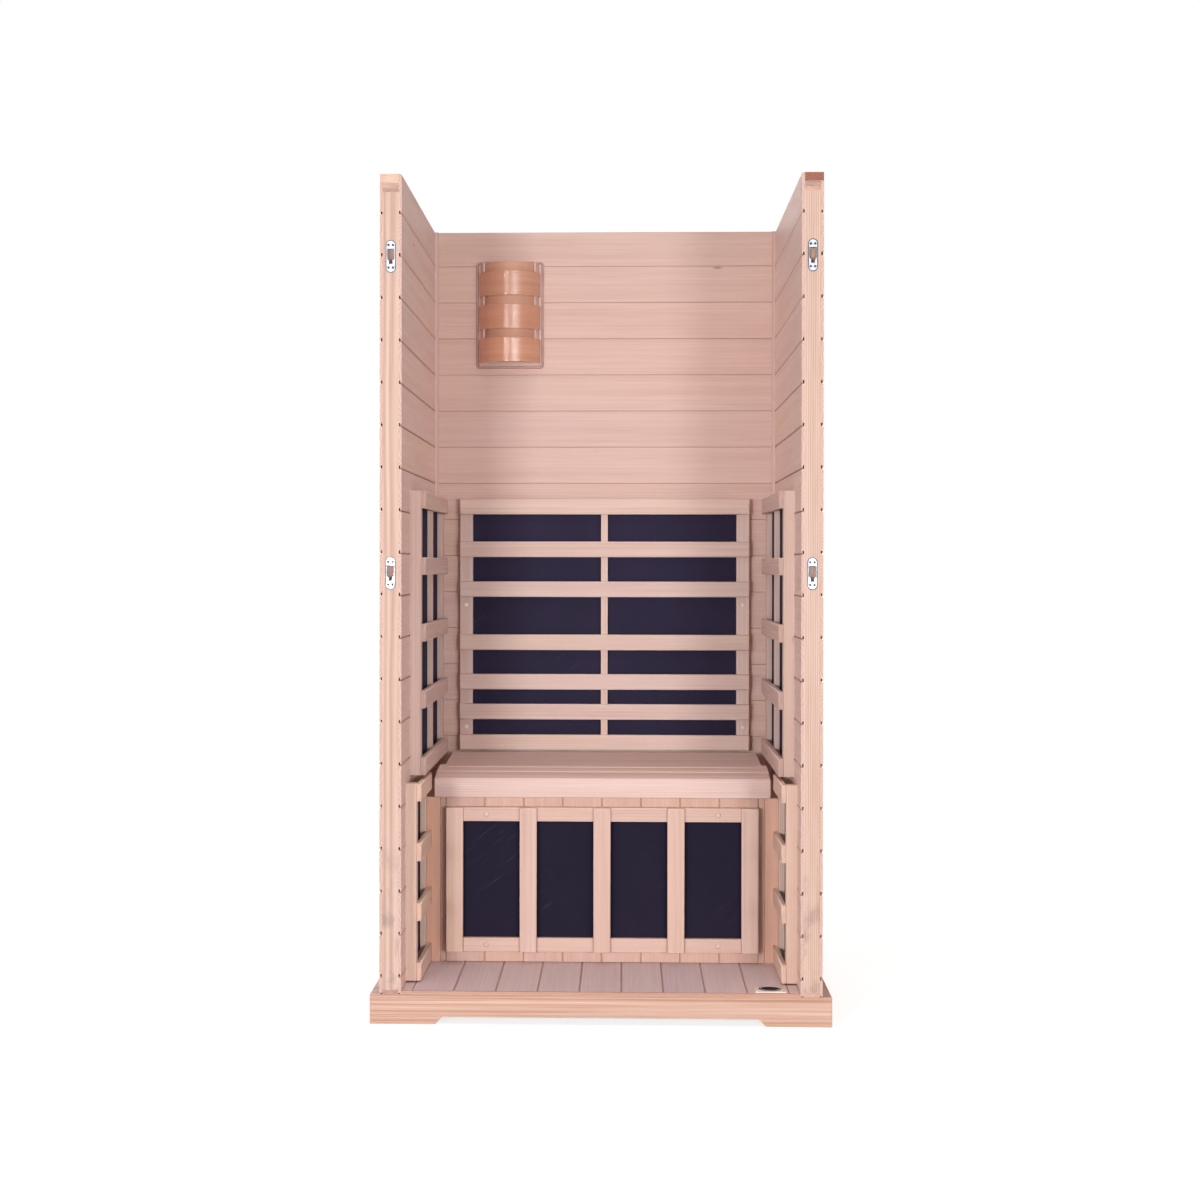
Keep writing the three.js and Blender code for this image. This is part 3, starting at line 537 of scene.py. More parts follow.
def add_rings(solid, middle, bottom, profile):
    """A turned face about an upright axis, through pairs of a radius and a rise."""
    turns = [math.tau * i / BADGE_STEPS for i in range(BADGE_STEPS)]
    loops = [[solid.verts.new((middle.x + radius * math.cos(turn), middle.y + radius * math.sin(turn),
                               bottom + rise)) for turn in turns] for radius, rise in profile]
    for outer, inner in zip(loops, loops[1:]):
        skirt(solid, outer, inner)


def make_moulding(name, shade, roughness, speckle, gloss=0.45):
    """Moulded or enamelled surface: slight unevenness of colour, fine dust and a hazy gloss."""
    material, tree, shader = start_finish(name, Specular_IOR_Level=gloss)
    place = on_piece(tree)
    dust = cloud(tree, place, (900, 900, 900), 4.0)
    haze = cloud(tree, place, (40, 40, 40), 3.0)
    dark = [level * (1 - speckle) for level in shade]
    skin = mix(tree, ramp(tree, dust, 0.35, 0.7), colour(*shade), colour(*dark))
    haze = ramp(tree, haze, 0.3, 0.7, roughness - 0.07, roughness + 0.1)
    end_finish(tree, shader, skin, haze, dust, 0.15, 0.0002)
    return material


badge_low, badge_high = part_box("floor_badge")
badge_middle = (badge_low + badge_high) / 2
badge_plate = make_moulding("badge_moulding", BADGE_PALE, 0.4, 0.08)
badge_enamel = make_moulding("badge_enamel", BADGE_DARK, 0.5, 0.2, 0.02)
plate = bmesh.new()
outline = rounded_outline(badge_low, badge_high, BADGE_CORNER)
add_plate(plate, outline, badge_low.z, badge_low.z + BADGE_PLATE, BADGE_EASE)
add_rings(plate, badge_middle, badge_low.z, BADGE_RING)
disc = bmesh.new()
add_rings(disc, badge_middle, badge_low.z, BADGE_DISC)
add_piece("floor_badge_plate", to_mesh(plate, "floor_badge_plate", 40), badge_plate, ["floor_badge"])
add_piece("floor_badge_disc", to_mesh(disc, "floor_badge_disc", 40), badge_enamel)


# The wall frames: studs and rails between the two skins of boards. Only their ends show, at the front
# and along the top, where packing strips in thin layers lie between the stud and the top rail.

STUD_WIDTH = 0.06
BOTTOM_RAIL = 0.009
TOP_RAIL = 0.019
TOP_PLATE = 0.02
PACKING_SHARES = [(0.0, 0.3), (0.3, 0.42), (0.42, 0.78), (0.78, 1.0)]
FRAME_EASE = 0.0006
FRAME_PALE = (232, 200, 184)
FRAME_DARK = (186, 150, 140)
FRAME_TINTS = ((214, 210, 214), (255, 248, 238))


def frame_timbers(node, blocks, finish):
    """Planed blocks in place of a wall frame, each given by its corners and the way its grain runs."""
    mark = []
    solid = bmesh.new()
    for low, high, along in blocks:
        count = len(solid.verts)
        ease_edges(solid, add_block(solid, low, high), FRAME_EASE, 1)
        mark.append((count, along))
    mesh = lay_grain(to_mesh(solid, node + "_timbers"), X, Z)
    draw = random.Random(node)
    for i, (start, along) in enumerate(mark):
        stop = mark[i + 1][0] if i + 1 < len(mark) else len(mesh.vertices)
        shift = Vector((draw.uniform(-5, 5), 0.3, draw.uniform(-0.05, 0.05)))
        tone = draw.random()
        across = X if along == Z else Z
        for k in range(start, stop):
            point = mesh.vertices[k].co
            place = Vector((point.dot(along), point.dot(across), point.dot(along.cross(across))))
            mesh.attributes["grain"].data[k].vector = place + shift
            mesh.attributes["tone"].data[k].value = tone
    add_piece(node + "_timbers", mesh, finish, [node])


packing = make_timber("frame_softwood", FRAME_PALE, FRAME_DARK, 0.0035, rings=0.45, streaks=0.6,
                      tints=FRAME_TINTS)
for side in ("left", "right"):
    low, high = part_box(side + "_wall_frame")
    plate_low = high.z - TOP_PLATE
    blocks = [(low, (high.x, high.y, low.z + BOTTOM_RAIL), Y)]
    for first, last in PACKING_SHARES:
        bottom, top = plate_low + TOP_PLATE * first, plate_low + TOP_PLATE * last
        blocks.append(((low.x, low.y, bottom), (high.x, high.y, top), Y))
    for back in (high.y, (low.y + high.y + STUD_WIDTH) / 2):
        stud = [(low.x, back - STUD_WIDTH, low.z + BOTTOM_RAIL), (high.x, back, plate_low)]
        blocks.append((*stud, Z))
    frame_timbers(side + "_wall_frame", blocks, packing)
low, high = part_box("back_wall_frame")
blocks = [(low, (high.x, high.y, low.z + BOTTOM_RAIL), X), ((low.x, low.y, high.z - TOP_RAIL), high, X)]
for left in (low.x, -STUD_WIDTH / 2, high.x - STUD_WIDTH):
    blocks.append(((left, low.y, low.z + BOTTOM_RAIL), (left + STUD_WIDTH, high.y, high.z - TOP_RAIL), Z))
frame_timbers("back_wall_frame", blocks, packing)


# The front studs and the top rails of the side walls, of straight-grained softwood with fine upright lines.
# The studs have grey stains near the floor, and the right rail ends in dark end grain.

STUD_EASE = 0.0005
TOP_EASE = 0.0008
STUD_PALE = (222, 198, 186)
STUD_DARK = (191, 151, 130)
TOP_PALE = (236, 208, 193)
TOP_DARK = (214, 172, 150)
TOP_END = (136, 74, 54)

stud_wood = make_timber("stud_softwood", STUD_PALE, STUD_DARK, 0.0042, rings=0.55, streaks=0.3, stains=0.8)
rail_wood = make_timber("rail_softwood", TOP_PALE, TOP_DARK, 0.0036, rings=0.45, streaks=0.4, end_share=0.12)
rail_end = make_timber("rail_end_grain", TOP_PALE, TOP_DARK, 0.0036, rings=0.45, streaks=0.4,
                       end_colour=TOP_END, end_share=0.95)
for side in ("left", "right"):
    eased_timber(side + "_wall_front_stud", stud_wood, Z, X, STUD_EASE, (0.35, 0.0))
eased_timber("left_wall_top_rail", rail_wood, Y, X, TOP_EASE, (0.35, 0.0))
eased_timber("right_wall_top_rail", rail_end, Y, X, TOP_EASE, (0.05, 0.03))


# The corner beads, quarter rounds of softwood pinned into the two back corners.
# They are of the same wood as the back wall's boards.

for side in ("left", "right"):
    node = "corner_bead_" + side
    mesh = lay_grain(to_mesh(solid_of(node), node + "_bead", 30), Z, X)
    add_piece(node + "_bead", mesh, boards, [node])


# The latch plates, pressed from bright zinc-plated steel, let the front wall hook on to the studs.
# Each has a keyhole, and a pair of countersunk cross-head screws above and below it.

PLATE_EASE = 0.0005
PLATE_RIM = 0.0015
SCREW_RADIUS = 0.0029
SCREW_OFFSETS = [(x, z) for x in (-0.0047, 0.0047) for z in (-0.0242, 0.0242)]
SCREW_STEPS = 20
ZINC_GREY = (176, 180, 192)
SCREW_GREY = (76, 76, 90)


def make_zinc(name, shade, roughness):
    """Bright zinc on steel: a metal with a soft spangle, fine scratches and a duller bloom here and there."""
    material, tree, shader = start_finish(name, Metallic=1.0)
    place = on_piece(tree)
    spangle = put(tree, "ShaderNodeTexVoronoi", {"Vector": place, "Scale": 900.0}).outputs["Color"]
    bloom = cloud(tree, place, (160, 160, 160), 4.0)
    scratch = cloud(tree, place, (2600, 260, 320), 2.0)
    dull = [level * 0.84 for level in shade]
    metal = mix(tree, ramp(tree, bloom, 0.4, 0.7), colour(*shade), colour(*dull))
    metal = mix(tree, 0.06, metal, spangle)
    # Painted shade: the eased faces and the rim round the plate's face are painted dark.
    painted_rim_shade = [level * 0.34 for level in shade]
    metal = mix(tree, sums(tree, "MULTIPLY", carried(tree, "ease", "Fac"), 0.9), metal, colour(*painted_rim_shade))
    haze = ramp(tree, bloom, 0.3, 0.7, roughness - 0.05, roughness + 0.15)
    end_finish(tree, shader, metal, haze, scratch, 0.12, 0.0001)
    return material


def screw_mesh(radius):
    """A countersunk head, seen along z: a low cone with a cross-shaped recess."""
    arm, half, deep = radius * 0.62, radius * 0.17, radius * 0.45
    cross = [(half, half), (half, arm), (-half, arm), (-half, half), (-arm, half), (-arm, -half),
             (-half, -half), (-half, -arm), (half, -arm), (half, -half), (arm, -half), (arm, half)]
    solid = bmesh.new()
    turns = [math.tau * i / SCREW_STEPS for i in range(SCREW_STEPS)]
    rim = [solid.verts.new((radius * math.cos(turn), radius * math.sin(turn), 0.0)) for turn in turns]
    crown = [solid.verts.new((point.co.x * 0.93, point.co.y * 0.93, 0.0003)) for point in rim]
    lip = [solid.verts.new((x, y, 0.0004)) for x, y in cross]
    floor = [solid.verts.new((x * 0.7, y * 0.7, 0.0004 - deep)) for x, y in cross]
    skirt(solid, rim, crown)
    skirt(solid, lip, floor)
    bmesh.ops.triangle_fill(solid, edges=ring_edges(solid, crown) + ring_edges(solid, lip), use_beauty=True)
    solid.faces.new(floor)
    solid.faces.new(rim)
    return lay_grain(to_mesh(solid, "screw_head"), X, Y)


zinc = make_zinc("bright_zinc", ZINC_GREY, 0.3)
screw_metal = make_zinc("screw_steel", SCREW_GREY, 0.34)
screw_places = []
for side in ("left", "right"):
    for level in ("upper", "lower"):
        node = side + "_" + level + "_latch_plate"
        solid = solid_of(node)
        ease_edges(solid, sharp_edges(solid, 50), PLATE_EASE)
        mark = solid.faces.layers.float["ease"]
        fronts = [face for face in solid.faces if face.normal.y < -0.99]
        # The rim round each plate's face is marked, so the zinc paints it dark as painted shade.
        rim = bmesh.ops.inset_region(solid, faces=fronts, thickness=PLATE_RIM, use_even_offset=True)
        for face in rim["faces"]:
            face[mark] = 1.0
        add_piece(node + "_pressing", to_mesh(solid, node + "_pressing"), zinc, [node])
        low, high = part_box(node)
        middle = (low + high) / 2
        screw_places += [(middle.x + x, middle.z + z, -low.y) for x, z in SCREW_OFFSETS]
screws = set_out("latch_screws", screw_mesh(SCREW_RADIUS), screw_places, screw_metal, 31, turn=math.pi / 2)
screws.transform(Matrix((X, Z, -Y)).transposed().to_4x4())
add_piece("latch_screws", screws, screw_metal)


# The heaters: flat carbon film panels, near black with a blue cast and a fine diagonal weave.
# They stand against the walls and the kick panel behind their guards, and carry a few scuffs.

HEATER_EASE = 0.0008
WEAVE_GAP = 0.0026
FILM_TONES = ((45, 41, 61), (53, 48, 71))
# Painted shade: the calf heater's film is given darker tones than the others.
CALF_FILM_PAINTED_SHADE = ((34, 31, 46), (40, 36, 54))
SCUFF_GREY = (120, 114, 134)


def make_carbon(name, low, high):
    """Woven carbon film: two sets of diagonal ribs, cloudy sheen and thin pale scuffs."""
    material, tree, shader = start_finish(name, Specular_IOR_Level=0.012)
    place = on_piece(tree)
    part = put(tree, "ShaderNodeSeparateXYZ", {0: place}).outputs
    level = sums(tree, "ADD", part["X"], part["Y"])
    ribs = []
    for way in (1.0, -1.0):
        slant = sums(tree, "ADD", sums(tree, "MULTIPLY", level, way), part["Z"])
        ribs.append(sums(tree, "SINE", sums(tree, "MULTIPLY", slant, math.tau / WEAVE_GAP / math.sqrt(2))))
    weave = sums(tree, "MULTIPLY", ribs[0], ribs[1])
    sheen = cloud(tree, place, (5, 5, 4), 3.0)
    film = mix(tree, ramp(tree, sheen, 0.3, 0.7), colour(*low), colour(*high))
    film = mix(tree, ramp(tree, weave, -1.0, 1.0, 0.0, 0.2), film, colour(*[level + 14 for level in high]))
    turned = put(tree, "ShaderNodeMapping", {"Vector": place, "Rotation": (0.5, 0.62, 0.3)}).outputs[0]
    line = cloud(tree, turned, (9, 900, 9), 1.0)
    rare = ramp(tree, cloud(tree, place, (6, 6, 9), 1.0), 0.56, 0.68)
    scuff = sums(tree, "MULTIPLY", ramp(tree, line, 0.68, 0.76), rare)
    film = mix(tree, sums(tree, "MULTIPLY", scuff, 0.16), film, colour(*SCUFF_GREY))
    end_finish(tree, shader, film, ramp(tree, sheen, 0.3, 0.7, 0.5, 0.64), weave, 0.2, 0.0002)
    return material


carbon = make_carbon("carbon_film", *FILM_TONES)
calf_carbon_painted_shade = make_carbon("calf_carbon_film", *CALF_FILM_PAINTED_SHADE)
for node in ("left_upper_heater", "left_lower_heater", "right_upper_heater", "right_lower_heater",
             "back_heater", "calf_heater"):
    # The calf heater's darker film is painted shade.
    film = calf_carbon_painted_shade if node == "calf_heater" else carbon
    add_piece(node + "_film", eased_mesh(node, node + "_film", HEATER_EASE), film, [node])


# The guards in front of the heaters: slats with rounded front edges nailed across upright stiles, and on
# the wide ones a thin mullion down the middle. The calf guard has uprights across two rails instead.

STRIP_WIDTH = 0.039
STILE_WIDTH = 0.032
MULLION_WIDTH = 0.017
BACKING = 0.024
MULLION_BACK = 0.0115
SLAT_ROUND = 0.0032
STILE_ROUND = 0.0018
UPPER_SLATS = 5
LOWER_SLATS = 4
CALF_UPRIGHTS = 5
STRIP_SHIFT = (5.0, 0.04, 0.025)
BACK_GAPS = (0.038, 0.036, 0.060, 0.094, 0.061, 0.068)
GUARD_PALE = (229, 206, 198)
GUARD_DARK = (208, 177, 167)
# Painted light: the lower guards are given paler tones than the upper ones.
LOW_PAINTED_LIGHT_PALE = (240, 213, 197)
LOW_PAINTED_LIGHT_DARK = (222, 188, 170)
# Painted shade: the calf guard is given darker tones than the upper guards.
CALF_PAINTED_SHADE_PALE = (220, 192, 180)
CALF_PAINTED_SHADE_DARK = (200, 166, 152)


def strip_mesh(name, width, height, back, front, rounding, along):
    """A straight strip: x across, y out of the wall and z up, with the edges of its front face rounded."""
    solid = bmesh.new()
    edges = add_block(solid, (0, back, 0), (width, front, height))
    front_edges = [edge for edge in edges if all(abs(point.co.y - front) < 1e-6 for point in edge.verts)]
    ease_edges(solid, front_edges, rounding, 3)
    across = Z if along == X else X
    return lay_grain(to_mesh(solid, name), along, across, (0.0, 0.06), 0.02)


def add_strips(name, node, out, places, width, height, back, front, rounding, along, seed, finish, nodes=()):
    pattern = strip_mesh(name + "_strip", width, height, back, front, rounding, along)
    mesh = set_out(name, pattern, places, finish, seed, shift=STRIP_SHIFT)
    add_piece(name, stand(mesh, node, out, Z), finish, nodes)


# The lower guards' paler wood is painted light, and the calf guard's darker wood is painted shade.
guard_wood = make_timber("guard_softwood", GUARD_PALE, GUARD_DARK, 0.005, rings=0.3, streaks=0.4)
low_guard_painted_light_wood = make_timber("low_guard_softwood", LOW_PAINTED_LIGHT_PALE, LOW_PAINTED_LIGHT_DARK, 0.005, rings=0.3, streaks=0.4)
calf_guard_painted_shade_wood = make_timber("calf_guard_softwood", CALF_PAINTED_SHADE_PALE, CALF_PAINTED_SHADE_DARK, 0.005, rings=0.3, streaks=0.4)
guard_ways = {"left_upper": (X, UPPER_SLATS, True), "left_lower": (X, LOWER_SLATS, False),
              "right_upper": (-X, UPPER_SLATS, True), "right_lower": (-X, LOWER_SLATS, False),
              "back": (-Y, len(BACK_GAPS) + 1, True)}
for seed, (name, (out, count, has_mullion)) in enumerate(guard_ways.items(), 41):
    node = name + "_guard"
    width, depth, height = extents(node, out, Z)
    finish = low_guard_painted_light_wood if "lower" in name else guard_wood
    rises = [i * (height - STRIP_WIDTH) / (count - 1) for i in range(count)]
    if name == "back":
        rises = [sum(BACK_GAPS[:i]) + i * STRIP_WIDTH for i in range(count)]
    add_strips(node + "_slats", node, out, [(0, 0, rise) for rise in rises], width, STRIP_WIDTH, BACKING,
               depth, SLAT_ROUND, X, seed, finish, [node])
    add_strips(node + "_stiles", node, out, [(0, 0, 0), (width - STILE_WIDTH, 0, 0)], STILE_WIDTH, height, 0,
               BACKING, STILE_ROUND, Z, seed + 10, finish)
    if has_mullion:
        add_strips(node + "_mullion", node, out, [((width - MULLION_WIDTH) / 2, 0, 0)], MULLION_WIDTH, height,
                   MULLION_BACK, BACKING, STILE_ROUND, Z, seed + 20, finish)
width, depth, height = extents("calf_guard", -Y, Z)
uprights = [(i * (width - STRIP_WIDTH) / (CALF_UPRIGHTS - 1), 0, 0) for i in range(CALF_UPRIGHTS)]
add_strips("calf_guard_uprights", "calf_guard", -Y, uprights, STRIP_WIDTH, height,
           BACKING, depth, SLAT_ROUND, Z, 71, calf_guard_painted_shade_wood, ["calf_guard"])
add_strips("calf_guard_rails", "calf_guard", -Y, [(0, 0, 0), (0, 0, height - STILE_WIDTH)], width,
           STILE_WIDTH, 0, BACKING, STILE_ROUND, X, 72, calf_guard_painted_shade_wood)


# The wooden plugs over the screws that hold the back guard and the calf guard, turned with a low dome.
# Those of the back guard are paler than its stiles, and those of the calf guard are like its rails.

PLUG_PROFILE = [(0.0061, -0.001), (0.0061, 0.0002), (0.0052, 0.0003), (0.0048, 0.0007), (0.0030, 0.0010),
                (0.0015, 0.0011)]
PLUG_STEPS = 24
CALF_PLUG_INSET = 0.092
BACK_PLUG_RISES = (0.058, 0.364)
PLUG_PALE, PLUG_DARK, PLUG_RIM = (229, 201, 189), (210, 174, 160), (180, 136, 119)
BACK_PLUG_PALE, BACK_PLUG_DARK, BACK_PLUG_RIM = (248, 234, 228), (236, 216, 208), (206, 176, 164)


def plug_mesh():
    """A plug with y out of the wall, whose rim is marked as eased."""
    solid = bmesh.new()
    turns = [math.tau * i / PLUG_STEPS for i in range(PLUG_STEPS)]
    loops = [[solid.verts.new((radius * math.cos(turn), rise, radius * math.sin(turn))) for turn in turns]
             for radius, rise in PLUG_PROFILE]
    mark = solid.faces.layers.float.new("ease")
    for level, (lower, upper) in enumerate(zip(loops, loops[1:])):
        for face in skirt(solid, lower, upper):
            face[mark] = float(level < 2)
    solid.faces.new(loops[0])
    solid.faces.new(loops[-1])
    return lay_grain(to_mesh(solid, "plug", 40), X, Z)


plug_wood = make_timber("plug_softwood", PLUG_PALE, PLUG_DARK, 0.004, rings=0.3, streaks=0.4, arris=PLUG_RIM)
pale_plug_wood = make_timber("pale_plug_softwood", BACK_PLUG_PALE, BACK_PLUG_DARK, 0.004, rings=0.3,
                             streaks=0.4, arris=BACK_PLUG_RIM)
calf_rises = (STILE_WIDTH / 2, height - STILE_WIDTH / 2)
for node, inset, rises, finish in (("back_guard", STILE_WIDTH / 2, BACK_PLUG_RISES, pale_plug_wood),
                                   ("calf_guard", CALF_PLUG_INSET, calf_rises, plug_wood)):
    width = extents(node, -Y, Z)[0]
    places = [(x, BACKING, rise) for x in (inset, width - inset) for rise in rises]
    mesh = set_out(node + "_plugs", plug_mesh(), places, finish, 81)
    add_piece(node + "_plugs", stand(mesh, node, -Y, Z), finish)


# The bench supports: an end post beside each end of the kick panel, with a ledge back along the side wall.
# They carry the loose seat, and their wood is painted redder than the boards as painted warm shade.

POST_EASE = 0.0012
# Painted shade: the posts' warm, redder tones stand in for the warm shade beside the guards.
POST_PAINTED_SHADE_PALE = (233, 192, 171)
POST_PAINTED_SHADE_DARK = (212, 162, 139)

post_painted_shade_wood = make_timber("post_softwood", POST_PAINTED_SHADE_PALE, POST_PAINTED_SHADE_DARK, 0.005, rings=0.25, streaks=0.3)
for side in ("left", "right"):
    eased_timber("bench_support_" + side, post_painted_shade_wood, Z, X, POST_EASE, (0.0, 0.08))


# The bench seat: four shaped slats on two bearers, hollowed a little for sitting and rounded at the nose.
# The seat is loose on its ledges, and draws forward as one piece.

SEAT_EASE = 0.0022
BEARER_EASE = 0.001
SEAT_PALE = (232, 207, 199)
SEAT_DARK = (209, 176, 165)

seat_wood = make_timber("seat_softwood", SEAT_PALE, SEAT_DARK, 0.0055, rings=0.32, streaks=0.42)
for node in ("seat_front_slat", "seat_second_slat", "seat_third_slat", "seat_back_slat"):
    eased_timber(node, seat_wood, X, Y, SEAT_EASE, (0.0, 0.06), "seat")
for node in ("seat_bearer_left", "seat_bearer_right"):
    eased_timber(node, seat_wood, Y, Z, BEARER_EASE, (0.0, 0.07), "seat")


# The wall lamp: a plate with a raised panel, two bent rails, a veneer shade inside them and three bowed
# veneer slats in front. The bulb stands in a porcelain holder on a shelf behind the shade.

LAMP_PLATE = 0.006
LAMP_PANEL = 0.009
LAMP_LIP = 0.006
LAMP_GROOVE = 0.0016
LAMP_GROOVE_DEPTH = 0.0042
LAMP_CORNER = 0.009
LAMP_AXIS = -0.0038
LAMP_RAIL = (0.0694, 0.0748)
LAMP_RAIL_ANGLE = 0.293
LAMP_SHADE_RISE = (0.019, 0.262)
LAMP_SHELF = (0.034, 0.038, 0.044, 0.048)
LAMP_EASE = 0.0012
LAMP_ARRIS = 0.0002
SHELF_EASE = 0.0008
VENEER_EASE = 0.0007
VENEER_PALE = (216, 166, 140)
VENEER_DARK = (184, 125, 99)
VENEER_TINTS = ((248, 244, 240), (255, 250, 244))
SHADE_PALE = (215, 168, 145)
SHADE_DARK = (185, 130, 104)
# Painted shade: the dark brown painted on the lamp plate's eased arrises, round its lip, its panel and its
# shelf.
LAMP_PLATE_PAINTED_SHADE = (152, 94, 78)

lamp_low, lamp_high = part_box("lamp_base")
lamp_middle = (lamp_low.x + lamp_high.x) / 2
lamp_wall = lamp_high.y


def round_lamp(point):
    """A place on the lamp as the veneer was before it was bent: round the axis, up, and through it."""
    depth = lamp_wall - point.y - LAMP_AXIS
    reach = math.hypot(point.x - lamp_middle, depth)
    return Vector((math.atan2(depth, point.x - lamp_middle) * reach, point.z, reach))


def add_bent_rail(solid, start, low, high, steps=6):
    """One bent rail of the lamp between two heights, in the lamp's own x, y up and z out."""
    turns = [start + LAMP_RAIL_ANGLE * i / steps for i in range(steps + 1)]
    section = [(LAMP_RAIL[1] * math.cos(t), LAMP_AXIS + LAMP_RAIL[1] * math.sin(t)) for t in turns]
    section += [(LAMP_RAIL[0] * math.cos(t), LAMP_AXIS + LAMP_RAIL[0] * math.sin(t)) for t in reversed(turns)]
    below = [solid.verts.new((x, low, z)) for x, z in section]
    above = [solid.verts.new((x, high, z)) for x, z in section]
    solid.faces.new(below)
    solid.faces.new(above)
    skirt(solid, below, above)


def add_lip(solid, outer, inner, low, high, ease):
    """A raised border between two outlines of as many points, with its upper arrises eased."""
    loops = [[solid.verts.new((u, v, z)) for u, v in outline]
             for outline, z in ((outer, low), (outer, high), (inner, high), (inner, low))]
    for first, second in zip(loops, loops[1:] + loops[:1]):
        skirt(solid, first, second)
    ease_edges(solid, ring_edges(solid, loops[1]) + ring_edges(solid, loops[2]), ease)


veneer = make_timber("bent_veneer", VENEER_PALE, VENEER_DARK, 0.0022, rings=0.35, streaks=0.3,
                     roughness=0.17, gloss=1.0, tints=VENEER_TINTS)
# The plate's eased faces take a painted shade colour.
plate_wood = make_timber("lamp_plate_softwood", BOARD_PALE, BOARD_DARK, 0.006, rings=0.14, streaks=0.3,
                         arris=LAMP_PLATE_PAINTED_SHADE)
shade_wood = make_timber("shade_veneer", SHADE_PALE, SHADE_DARK, 0.0022, rings=0.35, streaks=0.3,
                         roughness=0.4)
solid = bmesh.new()
half, tall = (lamp_high.x - lamp_low.x) / 2, lamp_high.z - lamp_low.z
outlines = [rounded_outline((-half + inset, inset), (half - inset, tall - inset), LAMP_CORNER - inset)
            for inset in (0.0, LAMP_LIP - LAMP_GROOVE, LAMP_LIP)]
add_plate(solid, outlines[0], 0, LAMP_PLATE - LAMP_GROOVE_DEPTH, LAMP_ARRIS)
add_lip(solid, outlines[0], outlines[1], LAMP_PLATE - LAMP_GROOVE_DEPTH, LAMP_PLATE, LAMP_EASE)
add_plate(solid, outlines[2], LAMP_PLATE - LAMP_GROOVE_DEPTH, LAMP_PANEL, LAMP_EASE)
rail_start = math.asin((LAMP_PANEL - LAMP_AXIS) / LAMP_RAIL[0])
for start in (rail_start, math.pi - rail_start - LAMP_RAIL_ANGLE):
    add_bent_rail(solid, start, *LAMP_SHADE_RISE)
shelf_low, shelf_high, shelf_width, shelf_front = LAMP_SHELF
shelf = add_block(solid, (-shelf_width / 2, shelf_low, LAMP_PANEL),
                  (shelf_width / 2, shelf_high, shelf_front))
ease_edges(solid, shelf, SHELF_EASE)
mesh = to_mesh(solid, "lamp_base_plate", 30)
turn = Matrix((X, Z, -Y)).transposed().to_4x4()
mesh.transform(Matrix.Translation((lamp_middle, lamp_wall, lamp_low.z)) @ turn)
add_piece("lamp_base_plate", lay_grain(mesh, X, Z, (0.0, 0.06)), plate_wood, ["lamp_base"])
for node, finish in (("lamp_lower_slat", veneer), ("lamp_middle_slat", veneer), ("lamp_upper_slat", veneer),
                     ("lamp_shade", shade_wood)):
    mesh = eased_mesh(node, node + "_veneer", VENEER_EASE, 50, 20)
    add_piece(node + "_veneer", lay_grain(mesh, X, Z, (0.0, 0.3), wound=round_lamp), finish, [node])


# The bulb and its holder: frosted glass on a glazed porcelain socket.
# They stand on the lamp's shelf behind the shade, and show only from above.

BULB_EASE = 0.0012
GLAZE_WHITE = (240, 236, 228)
FROST_WHITE = (246, 240, 226)

glaze = make_moulding("porcelain_glaze", GLAZE_WHITE, 0.2, 0.04)
frost = make_moulding("frosted_glass", FROST_WHITE, 0.3, 0.05)
for node, finish, slot in (("lamp_holder", glaze, "porcelain"), ("lamp_bulb", frost, "bulb")):
    add_piece(node + "_body", eased_mesh(node, node + "_body", BULB_EASE, 60, 40), finish, [node])


# The studio: a pale floor that runs out to white, two key boxes and two wide fill boxes in front, two tall
# narrow boxes for the lamp's sheen and one box behind. A warm ceiling and a low warm light from all round
# fill the shadows, and the camera stands where the photograph was taken from.

WHITE = (1, 1, 1, 1)
FLOOR_REACH = 14.0
FLOOR_FADE = (1.1, 2.4)
FLOOR_GLOW = 0.76
FLOOR_SHADE = (0.5, 0.5, 0.5, 1)
FLOOR_BOUNCE = (0.6, 0.6, 0.6, 1)
AMBIENT = 0.08
AMBIENT_TINT = (1.0, 0.66, 0.56, 1.0)
BOXES = [((-1.75, -6.0, 1.0), (0.8, 0.8), 128.0), ((1.9, -6.0, 1.0), (0.8, 0.8), 100.0),
         ((-3.4, -6.0, 1.2), (1.8, 1.8), 57.0), ((3.4, -6.0, 1.1), (1.8, 1.8), 50.0),
         ((-1.45, -6.6, 2.4), (0.26, 3.2), 12.0), ((1.15, -6.6, 2.4), (0.26, 3.2), 12.0),
         ((-1.2, 6.5, 1.7), (2.2, 2.2), 120.0)]
CEILING = 1.3
CEILING_TINT = (1.0, 0.88, 0.86)
CEILING_SPREAD = math.radians(70)
CEILING_AIM = Vector((0.0, 0.25, -1.0))
BOX_AIM = Vector((0.0, 0.1, 0.95))
CAMERA_PLACE = (0.05253, -5.05794, 0.98420)
CAMERA_TURN = (-0.033084, 0.005456, 0.001257)
CAMERA_LENS = 64.7298
CAMERA_SENSOR = 36.0
CAMERA_SHIFT = (0.03839, -0.01866)


def rays_seen(tree):
    """1 for what the camera, a reflection or a clear body sees, and 0 for light that falls on a surface."""
    path = put(tree, "ShaderNodeLightPath").outputs
    seen = sums(tree, "MAXIMUM", path["Is Camera Ray"], path["Is Glossy Ray"])
    return sums(tree, "MAXIMUM", seen, path["Is Transmission Ray"])


